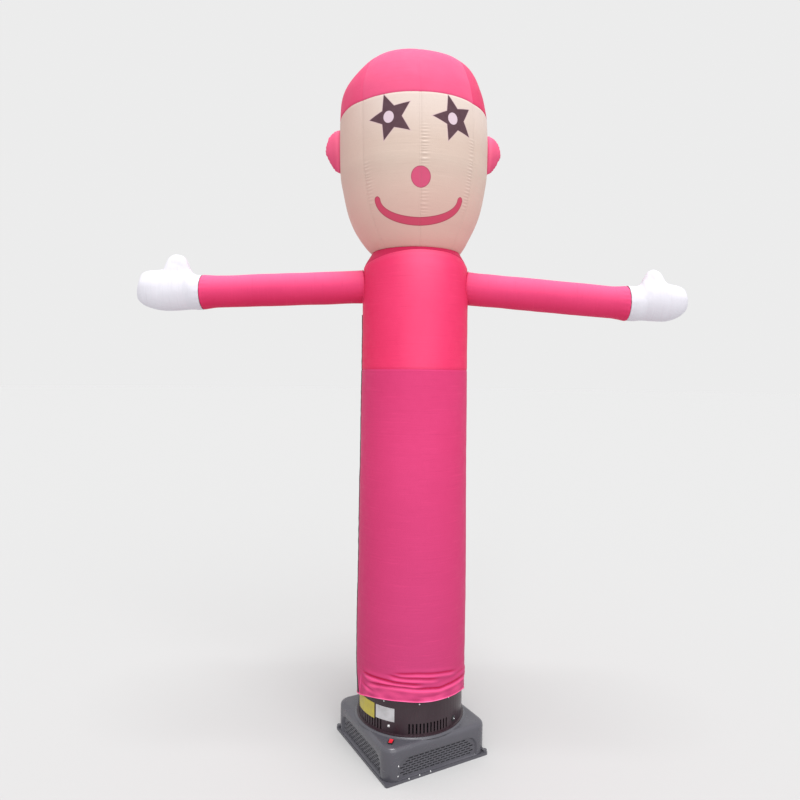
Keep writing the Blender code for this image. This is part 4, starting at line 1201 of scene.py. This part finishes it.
# The seat's section, outside to inside: each ring's radius and height.
SEAT_RINGS = (
    (0.2375, 0.1428), (0.2350, 0.1462), (0.2330, 0.1474), (0.2290, 0.1476), (0.2270, 0.1458), (0.2270, 0.1400)
)
nothing_selected()
bpy.ops.mesh.primitive_circle_add(vertices=144, radius=SEAT_START[0], location=(0, 0, SEAT_START[1]))
seat = bpy.context.object
bpy.ops.object.mode_set(mode="EDIT")
bpy.ops.mesh.select_all(action="SELECT")
for radius, height in SEAT_RINGS:
    ring = [v.co for v in bmesh.from_edit_mesh(seat.data).verts if v.select]
    before, up = ring[0].xy.length, ring[0].z + SEAT_START[1]
    bpy.ops.mesh.extrude_edges_move(TRANSFORM_OT_translate={"value": (0, 0, height - up)})
    bpy.ops.transform.resize(value=(radius / before, radius / before, 1))
bpy.ops.mesh.select_all(action="SELECT")
bpy.ops.mesh.normals_make_consistent(inside=False)
bpy.ops.object.mode_set(mode="OBJECT")
finish_piece(seat, "duct_seat")
top_faces = sum(f.normal.z * f.area for f in seat.data.polygons)
if top_faces < 0:
    seat.data.flip_normals()
print("seat", len(seat.data.polygons), "faces")


# %% Screw heads
def set_on(azimuth, distance, height, along_face=0.0, turn=0.0):
    """The place of a piece that looks outwards at an azimuth, moved along the face."""
    a = math.radians(azimuth)
    out = Vector((math.sin(a), -math.cos(a), 0))
    side = Vector((math.cos(a), math.sin(a), 0))
    basis = Matrix((side, Vector((0, 0, 1)), out)).transposed().to_4x4()
    place = Matrix.Translation(out * distance + side * along_face + Vector((0, 0, height)))
    return place @ basis @ Matrix.Rotation(turn, 4, "Z")


def domed_head(name, radius, rise, cross=True):
    """A screw head round the Z axis: a disc, drawn in and up to a dome, with a cross cut into it."""
    nothing_selected()
    bpy.ops.mesh.primitive_circle_add(vertices=28, radius=radius, fill_type="NGON")
    head = bpy.context.object
    bpy.ops.object.mode_set(mode="EDIT")
    bpy.ops.mesh.select_mode(type="FACE")
    bpy.ops.mesh.select_all(action="SELECT")
    for lift, shrink in ((0.35, 0.985), (0.30, 0.90), (0.22, 0.80), (0.10, 0.66)):
        bpy.ops.mesh.extrude_region_move(TRANSFORM_OT_translate={"value": (0, 0, rise * lift)})
        bpy.ops.transform.resize(value=(shrink, shrink, 1))
    bpy.ops.mesh.select_all(action="SELECT")
    bpy.ops.mesh.normals_make_consistent(inside=False)
    bpy.ops.object.mode_set(mode="OBJECT")
    head.name = name
    if cross:
        for turn in (0, math.pi / 2):
            bar = cube("bar", (radius * 1.15, radius * 0.26, rise), (0, 0, rise))
            cut_with(head, turned_to(bar, turn))
    return head


def copy_to(piece, matrix, name):
    """A copy with its own mesh, placed by its vertices."""
    double = add_object(name, piece.data.copy())
    double.data.transform(matrix)
    return double


def join(pieces, name):
    nothing_selected()
    for piece in pieces:
        piece.select_set(True)
    bpy.context.view_layer.objects.active = pieces[0]
    bpy.ops.object.join()
    return finish_piece(bpy.context.object, name)


# The dark sheets behind the slots are painted shade.
dark_slot_sheets = join(screens, "dark_slot_sheets")

PANEL_SCREWS = ((-0.187, 0.071), (-0.189, 0.0315))
BASE_SCREWS = (-0.141, -0.092, -0.041)
SCREWED_SIDES = (1, 3)
ON_HOUSING = HOUSING_HALF - 0.0002
ON_PLATE = 0.2438
BASE_SCREW_HEIGHT = 0.0100
RIVETS = [(azimuth, 0.279) for azimuth in (-28, 10, 45)]
RIVETS += [(azimuth, 0.215) for azimuth in (120, 158, -164, -128, -96)]

ON_DUCT = DUCT_R - 0.0002
CAP_PLACE = (53.5, 0.178)

small_head = domed_head("small_head", 0.0032, 0.0016)
screws = []
for side in SCREWED_SIDES:
    facing = -60 + 90 * side
    for i, (t, z) in enumerate(PANEL_SCREWS):
        screws.append(copy_to(small_head, set_on(facing, ON_HOUSING, z, t, 0.4 + i), "screw"))
    for i, t in enumerate(BASE_SCREWS):
        screws.append(copy_to(small_head, set_on(facing, ON_PLATE, BASE_SCREW_HEIGHT, t, 0.7 * i), "screw"))
panel_screws = join(screws, "housing_screws")

rivet_head = domed_head("rivet_head", 0.0031, 0.0020, cross=False)
rivets = [copy_to(rivet_head, set_on(azimuth, ON_DUCT, height), "rivet") for azimuth, height in RIVETS]
duct_rivets = join(rivets, "duct_rivets")

duct_screw = domed_head("screw", 0.0062, 0.0030)
duct_screw.data.transform(set_on(-22.3, ON_DUCT, 0.180, 0, 0.5))
finish_piece(duct_screw, "duct_screw_head")

cap_disc = domed_head("cap", 0.0125, 0.0042, cross=False)
cap_disc.data.transform(set_on(CAP_PLACE[0], ON_DUCT, CAP_PLACE[1]))
finish_piece(cap_disc, "duct_cap_disc")
cap_screw = copy_to(small_head, set_on(CAP_PLACE[0], DUCT_R + 0.0040, CAP_PLACE[1], 0, 0.8), "cap_screw")
finish_piece(cap_screw, "duct_cap_screw")
for spare in (small_head, rivet_head):
    bpy.data.objects.remove(spare, do_unlink=True)
print("screws", len(screws), "and rivets", len(RIVETS))

# %% [markdown]
# ## Materials
# A material here is a small recipe of nodes. Short helpers make the nodes, so that each recipe reads as
# a list of what the surface has: its colour and how that varies, its weave or grain, its shine.

# %% Helpers for nodes
def recipe(name):
    """An empty material with a Principled shader. Returns the material, its node tree and the shader."""
    look = bpy.data.materials.new(name)
    look.use_nodes = True
    return look, look.node_tree, look.node_tree.nodes["Principled BSDF"]


def dress(tree, shader, colour, roughness, normal):
    """Links the colour, the roughness and the relief to the shader."""
    tree.links.new(colour, shader.inputs["Base Color"])
    tree.links.new(roughness, shader.inputs["Roughness"])
    tree.links.new(normal, shader.inputs["Normal"])


def put(tree, socket, value):
    if isinstance(value, bpy.types.NodeSocket):
        tree.links.new(value, socket)
    else:
        socket.default_value = value


def calc(tree, operation, *values):
    node = tree.nodes.new("ShaderNodeMath")
    node.operation = operation
    for socket, value in zip(node.inputs, values):
        put(tree, socket, value)
    return node.outputs[0]


def times(tree, first, second):
    return calc(tree, "MULTIPLY", first, second)


def plus(tree, first, second):
    return calc(tree, "ADD", first, second)


def minus(tree, first, second):
    return calc(tree, "SUBTRACT", first, second)


def divided(tree, first, second):
    return calc(tree, "DIVIDE", first, second)


def fade(tree, value, start, end, low=0.0, high=1.0):
    node = tree.nodes.new("ShaderNodeMapRange")
    for name, number in (("From Min", start), ("From Max", end), ("To Min", low), ("To Max", high)):
        node.inputs[name].default_value = number
    put(tree, node.inputs["Value"], value)
    return node.outputs["Result"]


def blend_colours(tree, factor, first, second, mode="MIX"):
    node = tree.nodes.new("ShaderNodeMix")
    node.data_type = "RGBA"
    node.blend_type = mode
    put(tree, node.inputs[0], factor)
    put(tree, node.inputs[6], first)
    put(tree, node.inputs[7], second)
    return node.outputs[2]


def grain(tree, where, scale, detail=3.0, stretch=(1, 1, 1)):
    mapping = tree.nodes.new("ShaderNodeMapping")
    mapping.inputs["Scale"].default_value = stretch
    tree.links.new(where, mapping.inputs["Vector"])
    node = tree.nodes.new("ShaderNodeTexNoise")
    node.inputs["Scale"].default_value = scale
    node.inputs["Detail"].default_value = detail
    tree.links.new(mapping.outputs[0], node.inputs["Vector"])
    return node.outputs["Fac"]


def relief(tree, height, distance, strength, under=None):
    node = tree.nodes.new("ShaderNodeBump")
    node.inputs["Distance"].default_value = distance
    node.inputs["Strength"].default_value = strength
    put(tree, node.inputs["Height"], height)
    if under:
        tree.links.new(under, node.inputs["Normal"])
    return node.outputs["Normal"]


def coordinates(tree):
    """Object coordinates, and the piece's own map as its two numbers."""
    place = tree.nodes.new("ShaderNodeTexCoord")
    split = tree.nodes.new("ShaderNodeSeparateXYZ")
    tree.links.new(place.outputs["UV"], split.inputs[0])
    return place.outputs["Object"], split.outputs[0], split.outputs[1]


def tint(colour, factors):
    """The colour lighter or darker by a factor for each channel, or by one for all three."""
    if not isinstance(factors, tuple):
        factors = (factors,) * 3
    return tuple(min(1.0, c * k) for c, k in zip(colour, factors)) + (1,)


# %% [markdown]
# The cloth is thin coated nylon. It has a fine plain weave, a soft sheen, a little unevenness in its
# dye, and faint short creases from being packed. Thread runs beside the seams in short stitches.
# Each piece's tone adds painted light and painted shade to its colour.

# %% Cloth
WEAVE = 0.0011
STITCH = 0.0036
# From 1 up to this tone, a hem's edge goes on towards a paler pink, a painted highlight, by these factors of
# green and blue.
HEM_HIGHLIGHT_TONE = 1.9
HIGHLIGHT_PALER = (2.4, 1.7)
# Each cloth's factors for its painted light and its painted shade.
CREASE_LIGHT_SHADE = ((1.35, 1.75, 1.50), (0.80, 0.20, 0.36))
ROUND_LIGHT_SHADE = ((1.35, 2.45, 1.70), (0.80, 0.20, 0.38))
CREAM_LIGHT_SHADE = ((1.35, 1.42, 1.46), (0.84, 0.80, 0.78))


def stitches(tree, away, running):
    """Short stitches where away is near 0, one after another in the running direction."""
    line = calc(tree, "LESS_THAN", calc(tree, "ABSOLUTE", away), 0.00055)
    dash = calc(tree, "LESS_THAN", calc(tree, "FRACT", divided(tree, running, STITCH)), 0.62)
    return times(tree, line, dash)


def drag_streaks(tree, u, v):
    """Long thin level streaks, where the cloth was drawn taut and folded for its bag."""
    join_axes = tree.nodes.new("ShaderNodeCombineXYZ")
    put(tree, join_axes.inputs[0], u)
    put(tree, join_axes.inputs[1], v)
    return grain(tree, join_axes.outputs[0], 1.0, 2.0, (7.0, 150.0, 1.0))


def cloth(name, colour, deep, level_stitches=(), gore_stitches=False, prints=None, painted_tones=None, foot=None):
    """colour and deep are its dye, its tones the factors for its painted light and painted shade, foot its
    lower end.
    """
    look, tree, shader = recipe(name)
    place, u, v = coordinates(tree)
    tone = grain(tree, place, 2.2, 2.0)
    mottle = grain(tree, place, 26.0, 4.0)
    share = plus(tree, times(tree, tone, 0.75), times(tree, mottle, 0.25))
    base = blend_colours(tree, fade(tree, share, 0.30, 0.72), (*colour, 1), (*deep, 1))
    if foot:
        base = blend_colours(tree, fade(tree, v, 1.35, 0.42), base, (*foot, 1))
    if painted_tones:
        # The tone on each point paints light and shade: towards the lit colour, towards the shaded one, and
        # past 1 towards a paler pink, a painted highlight.
        tone = tree.nodes.new("ShaderNodeAttribute")
        tone.attribute_name = "painted_light_shade"
        light, dark = (tint(colour, factors) for factors in painted_tones)
        pale = (1.0, *tint(light[1:3], HIGHLIGHT_PALER))
        for end, ends_as in ((1.0, light), (-1.0, dark)):
            base = blend_colours(tree, fade(tree, tone.outputs["Fac"], 0.0, end), base, ends_as)
        base = blend_colours(tree, fade(tree, tone.outputs["Fac"], 1.0, HEM_HIGHLIGHT_TONE), base, pale)
    streaks = drag_streaks(tree, u, v)
    for start, end, ends_as in ((0.60, 0.74, tint(deep, 0.7)), (0.40, 0.26, tint(colour, 1.3))):
        base = blend_colours(tree, fade(tree, streaks, start, end, 0.0, 0.16), base, ends_as)
    if prints:
        base = prints(tree, u, v, base)
    threads = [stitches(tree, minus(tree, v, line), u) for line in level_stitches]
    if gore_stitches:
        seam = math.radians(GORE_SEAM - FACE_MIDDLE) * MAP_RADIUS
        spacing = math.radians(45) * MAP_RADIUS
        away = calc(tree, "PINGPONG", minus(tree, u, seam), spacing / 2)
        threads.append(stitches(tree, minus(tree, away, 0.0045), v))
    warp = calc(tree, "SINE", times(tree, u, 2 * math.pi / WEAVE))
    weft = calc(tree, "SINE", times(tree, v, 2 * math.pi / WEAVE))
    weave = times(tree, warp, weft)
    packed = grain(tree, place, 9.0, 5.0, (1.0, 1.0, 2.2))
    normal = relief(tree, packed, 0.004, 0.10)
    normal = relief(tree, streaks, 0.0016, 0.30, normal)
    normal = relief(tree, weave, 0.00012, 0.35, normal)
    if threads:
        thread = threads[0]
        for more in threads[1:]:
            thread = calc(tree, "MAXIMUM", thread, more)
        normal = relief(tree, thread, 0.0005, 0.6, normal)
        base = blend_colours(tree, times(tree, thread, 0.30), base, tint(colour, 0.55))
    base = blend_colours(tree, fade(tree, weave, -1, 1, 0.0, 0.07), base, tint(deep, 0.5))
    dress(tree, shader, base, fade(tree, mottle, 0.3, 0.7, 0.44, 0.56), normal)
    shader.inputs["Sheen Weight"].default_value = 0.01
    shader.inputs["Sheen Roughness"].default_value = 0.45
    shader.inputs["Sheen Tint"].default_value = tuple(math.sqrt(c) for c in colour) + (1,)
    shader.inputs["Specular IOR Level"].default_value = 0.05
    return look


# %% [markdown]
# The face is a print on cream cloth. Its shapes are drawn by distance: a star is one straight edge
# folded five times round its middle, the nose is an oval, and the mouth is half of an oval ring with
# round ends. The map is in metres, so each number below is a real size on the cloth.

# %% Face print
STAR_OUTER = 0.0915
STAR_INNER = 0.0425
STARS = ((-0.1076, 2.5818), (0.1436, 2.5856))
PUPILS = ((-0.1163, 2.582), (0.1342, 2.585))
PUPIL = (0.0205, 0.0225)
NOSE = (0.0076, 2.360, 0.040, 0.0395)
MOUTH = (0.0050, 2.2860, 0.1905, 0.0830)
MOUTH_HALF = 0.0150
MOUTH_SLANT = 0.0150
PRINT_EDGE = 0.0008
CREAM = (0.645, 0.515, 0.445)
CREAM_DEEP = (0.612, 0.475, 0.405)
# The crown's painted light, the left cheek's painted shade, and the chin's painted pink bounce light and
# shade.
CROWN_PAINTED_LIGHT = (0.715, 0.600, 0.545)
CHEEK_PAINTED_SHADE = (0.615, 0.425, 0.370)
CHIN_PAINTED_BOUNCE = (0.685, 0.405, 0.358)
STAR_INK = (0.088, 0.043, 0.058)
STAR_WORN = (0.125, 0.072, 0.088)
STAR_RIM = (0.62, 0.42, 0.47)
PUPIL_INK = (0.665, 0.532, 0.600)
PUPIL_RING = (0.72, 0.42, 0.60)
LIP_INK = (0.580, 0.066, 0.132)
NOSE_INK = (0.62, 0.085, 0.185)


def inside_edge(tree, distance):
    """1 inside a shape whose distance is negative there, with a soft printed edge."""
    return fade(tree, distance, PRINT_EDGE, -PRINT_EDGE)


def line_length(tree, x, y):
    """How long the straight line from the middle to (x, y) is."""
    squares = [times(tree, side, side) for side in (x, y)]
    return calc(tree, "SQRT", plus(tree, *squares))


def star_distance(tree, u, v, middle):
    x = minus(tree, u, middle[0])
    y = minus(tree, v, middle[1])
    reach = line_length(tree, x, y)
    turn = minus(tree, calc(tree, "ARCTAN2", y, x), math.pi)
    folded = calc(tree, "PINGPONG", turn, math.pi / 5)
    inner_x, inner_y = STAR_INNER * math.cos(math.pi / 5), STAR_INNER * math.sin(math.pi / 5)
    length = math.hypot(STAR_OUTER - inner_x, inner_y)
    edge_x, edge_y = inner_y / length, (STAR_OUTER - inner_x) / length
    across = times(tree, calc(tree, "COSINE", folded), edge_x)
    up = times(tree, calc(tree, "SINE", folded), edge_y)
    on_edge = times(tree, reach, plus(tree, across, up))
    return minus(tree, on_edge, STAR_OUTER * edge_x)


def oval_distance(tree, u, v, middle, half):
    """How far outside an oval a place is, near its edge."""
    x = divided(tree, minus(tree, u, middle[0]), half[0])
    y = divided(tree, minus(tree, v, middle[1]), half[1])
    size = line_length(tree, x, y)
    steep = line_length(tree, divided(tree, x, half[0]), divided(tree, y, half[1]))
    out = times(tree, size, minus(tree, size, 1.0))
    return divided(tree, out, calc(tree, "MAXIMUM", steep, 0.001))


def mouth_distance(tree, u, v):
    slant = times(tree, minus(tree, u, MOUTH[0]), MOUTH_SLANT)
    v = minus(tree, v, slant)
    band = calc(tree, "ABSOLUTE", oval_distance(tree, u, v, MOUTH[:2], MOUTH[2:]))
    above = calc(tree, "MAXIMUM", minus(tree, v, MOUTH[1]), 0.0)
    band = plus(tree, band, times(tree, above, 50.0))
    nearest = minus(tree, band, MOUTH_HALF)
    for side in (-1, 1):
        corner = (MOUTH[0] + side * MOUTH[2], MOUTH[1])
        end = oval_distance(tree, u, v, corner, (MOUTH_HALF, MOUTH_HALF))
        nearest = calc(tree, "MINIMUM", nearest, end)
    return nearest


def face_print(tree, u, v, base):
    # Painted light on the crown, painted shade on the left cheek, and painted pink light thrown up from the
    # tube, with shade, on the chin.
    base = blend_colours(tree, fade(tree, v, 2.50, 2.66), base, (*CROWN_PAINTED_LIGHT, 1))
    shaded = times(tree, fade(tree, u, -0.12, -0.34), fade(tree, u, -0.80, -0.50, 0.0, 0.8))
    base = blend_colours(tree, shaded, base, (*CHEEK_PAINTED_SHADE, 1))
    low_down = fade(tree, v, 2.43, 2.13)
    base = blend_colours(tree, low_down, base, (*CHIN_PAINTED_BOUNCE, 1))
    ink = grain(tree, tree.nodes["Texture Coordinate"].outputs["Object"], 60.0, 3.0)
    star_ink = blend_colours(tree, fade(tree, ink, 0.35, 0.7, 0.0, 0.35), (*STAR_INK, 1), (*STAR_WORN, 1))
    for middle in STARS:
        star = star_distance(tree, u, v, middle)
        base = blend_colours(tree, fade(tree, star, 0.0036, 0.0016, 0.0, 0.55), base, (*STAR_RIM, 1))
        base = blend_colours(tree, inside_edge(tree, star), base, star_ink)
    for middle in PUPILS:
        pupil = oval_distance(tree, u, v, middle, PUPIL)
        base = blend_colours(tree, inside_edge(tree, pupil), base, (*PUPIL_INK, 1))
        ring = minus(tree, calc(tree, "ABSOLUTE", plus(tree, pupil, 0.0042)), 0.0006)
        faint = times(tree, inside_edge(tree, ring), 0.35)
        base = blend_colours(tree, faint, base, (*PUPIL_RING, 1))
    nose = oval_distance(tree, u, v, NOSE[:2], NOSE[2:])
    for shape, ink in ((nose, NOSE_INK), (mouth_distance(tree, u, v), LIP_INK)):
        base = blend_colours(tree, inside_edge(tree, shape), base, tint(ink, 0.62))
        base = blend_colours(tree, fade(tree, shape, -0.0012, -0.0036), base, (*ink, 1))
    return base


# %% Cloth colours
lower_cloth = cloth(
    "lower_cloth",
    (0.680, 0.058, 0.192),
    (0.630, 0.048, 0.167),
    level_stitches=(HEM + 0.018, HEM + 0.0215, PANEL_SEAM - 0.008),
    painted_tones=CREASE_LIGHT_SHADE,
    foot=(0.510, 0.050, 0.164),
)
upper_cloth = cloth(
    "upper_cloth",
    (0.830, 0.056, 0.170),
    (0.780, 0.042, 0.140),
    level_stitches=(PANEL_SEAM + 0.008, SHOULDER - 0.008),
    painted_tones=ROUND_LIGHT_SHADE,
)
# The yoke's darker colour is painted shade, where the head shades it.
yoke_shaded_cloth = cloth("yoke_shaded_cloth", (0.600, 0.029, 0.102), (0.560, 0.025, 0.090))
sleeve_cloth = cloth("sleeve_cloth", (0.780, 0.068, 0.195), (0.720, 0.056, 0.170), painted_tones=ROUND_LIGHT_SHADE)
ear_cloth = cloth("ear_cloth", (0.690, 0.094, 0.200), (0.635, 0.080, 0.175), painted_tones=CREASE_LIGHT_SHADE)
cap_cloth = cloth(
    "cap_cloth", (0.780, 0.112, 0.242), (0.730, 0.086, 0.198), level_stitches=(0.004,), painted_tones=CREASE_LIGHT_SHADE
)
face_cloth = cloth("face_cloth", CREAM, CREAM_DEEP, gore_stitches=True, prints=face_print, painted_tones=CREAM_LIGHT_SHADE)
mitt_cloth = cloth("mitt_cloth", (0.712, 0.698, 0.758), (0.672, 0.653, 0.715))

# %% [markdown]
# The housing is moulded plastic: dark blue-grey, glossy, with a fine pebbled skin, dust that has settled
# and light scratches. The duct is browner and a little duller. Metal, foil and vinyl are small recipes.

# %% Plastics, metal and stickers
def plastic(name, colour, worn, roughness, pebble=0.0004, dust=0.25):
    look, tree, shader = recipe(name)
    place = coordinates(tree)[0]
    cloud = grain(tree, place, 7.0, 5.0)
    scuff = grain(tree, place, 38.0, 6.0, (1.0, 1.0, 3.5))
    fine = grain(tree, place, 900.0, 2.0)
    base = blend_colours(tree, fade(tree, cloud, 0.40, 0.70, 0.0, dust), (*colour, 1), (*worn, 1))
    base = blend_colours(tree, fade(tree, scuff, 0.62, 0.74, 0.0, 0.35), base, (*worn, 1))
    rough = fade(tree, cloud, 0.3, 0.7, roughness - 0.05, roughness + 0.09)
    rough = plus(tree, rough, fade(tree, scuff, 0.60, 0.75, 0.0, 0.12))
    normal = relief(tree, fine, pebble, 0.25, relief(tree, cloud, 0.004, 0.12))
    dress(tree, shader, base, rough, normal)
    return look


# How the marks on metal and on a label lie: their size and detail, where the wear starts and ends, how
# much smoother the clean part is, and the height and strength of their relief.
FINE_MARKS = (420.0, 3.0, 0.35, 0.70, 0.06, 0.0002, 0.30)
CLOUDY_MARKS = (34.0, 4.0, 0.38, 0.68, 0.05, 0.0012, 0.25)


def marked(name, colour, worn, roughness, metallic, marks):
    """Metal, foil or vinyl with no print on it."""
    scale, detail, start, end, smoother, height, strength = marks
    look, tree, shader = recipe(name)
    wear = grain(tree, coordinates(tree)[0], scale, detail)
    base = blend_colours(tree, fade(tree, wear, start, end), (*colour, 1), (*worn, 1))
    rough = fade(tree, wear, 0.3, 0.7, roughness - smoother, roughness + 0.10)
    dress(tree, shader, base, rough, relief(tree, wear, height, strength))
    shader.inputs["Metallic"].default_value = metallic
    return look


housing_plastic = plastic("housing_plastic", (0.074, 0.072, 0.086), (0.108, 0.105, 0.122), 0.24)
duct_plastic = plastic("duct_plastic", (0.025, 0.010, 0.016), (0.047, 0.030, 0.037), 0.33)
black_plastic = plastic("switch_black", (0.010, 0.010, 0.012), (0.035, 0.035, 0.038), 0.34, dust=0.12)
# A near-black grey for the sheets behind the slots: painted shade.
slot_shade_grey = plastic("slot_shade_grey", (0.030, 0.029, 0.034), (0.050, 0.048, 0.054), 0.60)
red_plastic = plastic("switch_red", (0.62, 0.012, 0.030), (0.72, 0.05, 0.06), 0.24, dust=0.2)
zip_black = plastic("zip_black", (0.012, 0.010, 0.012), (0.05, 0.03, 0.035), 0.55, pebble=0.001)
screw_metal = marked("screw_metal", (0.86, 0.86, 0.87), (0.619, 0.619, 0.626), 0.26, 0.9, FINE_MARKS)
silver_foil = marked("silver_foil", (0.52, 0.51, 0.53), (0.43, 0.42, 0.43), 0.40, 0.25, CLOUDY_MARKS)
yellow_vinyl = marked("yellow_vinyl", (0.46, 0.38, 0.035), (0.40, 0.33, 0.06), 0.38, 0.0, CLOUDY_MARKS)

for node, look in (
    ("base_plate", housing_plastic),
    ("fan_duct", duct_plastic),
    ("rating_plate", silver_foil),
    ("side_sticker", yellow_vinyl),
    ("switch_bezel", black_plastic),
    ("switch_rocker", red_plastic),
):
    for socket in nodes[node].material_slots:
        socket.material = look

# %% [markdown]
# ## Which body carries each piece
# Everything rides on the dancer but the red rocker, which tilts. Each piece names its finish, the name of
# a slot, and the CAD node that it stands for.

# %% Rides and slots
PIECES = (
    (lower, lower_cloth, "lower_cloth", ("body_lower",)),
    (upper, upper_cloth, "upper_cloth", ("body_upper",)),
    (yoke, yoke_shaded_cloth, "upper_cloth", ("shoulder_yoke",)),
    (face, face_cloth, "face_cloth", ("head_face",)),
    (cap, cap_cloth, "cap_cloth", ("head_cap",)),
    (ears["left"], ear_cloth, "upper_cloth", ("ear_left",)),
    (ears["right"], ear_cloth, "upper_cloth", ("ear_right",)),
    (sleeves["left"], sleeve_cloth, "upper_cloth", ("arm_left",)),
    (sleeves["right"], sleeve_cloth, "upper_cloth", ("arm_right",)),
    (mitts["left"], mitt_cloth, "mitt_cloth", ("hand_left",)),
    (mitts["right"], mitt_cloth, "mitt_cloth", ("hand_right",)),
    (armhole_seams["left"], upper_cloth, "upper_cloth", ()),
    (armhole_seams["right"], upper_cloth, "upper_cloth", ()),
    (side_zip, zip_black, "switch_black", ()),
    (shell, housing_plastic, "housing_plastic", ("housing",)),
    (seat, housing_plastic, "housing_plastic", ("housing",)),
    (dark_slot_sheets, slot_shade_grey, "duct_plastic", ()),
    (panel_screws, screw_metal, "screw_metal", ()),
    (duct_rivets, screw_metal, "screw_metal", ()),
    (duct_screw, screw_metal, "screw_metal", ("duct_screw",)),
    (cap_disc, black_plastic, "switch_black", ("duct_cap",)),
    (cap_screw, screw_metal, "screw_metal", ()),
)
for piece, look, slot_name, stands_for in PIECES:
    piece.data.materials.clear()
    piece.data.materials.append(look)
    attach(piece, "dancer")
    if stands_for:
        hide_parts(*stands_for)

for side in ("left", "right"):
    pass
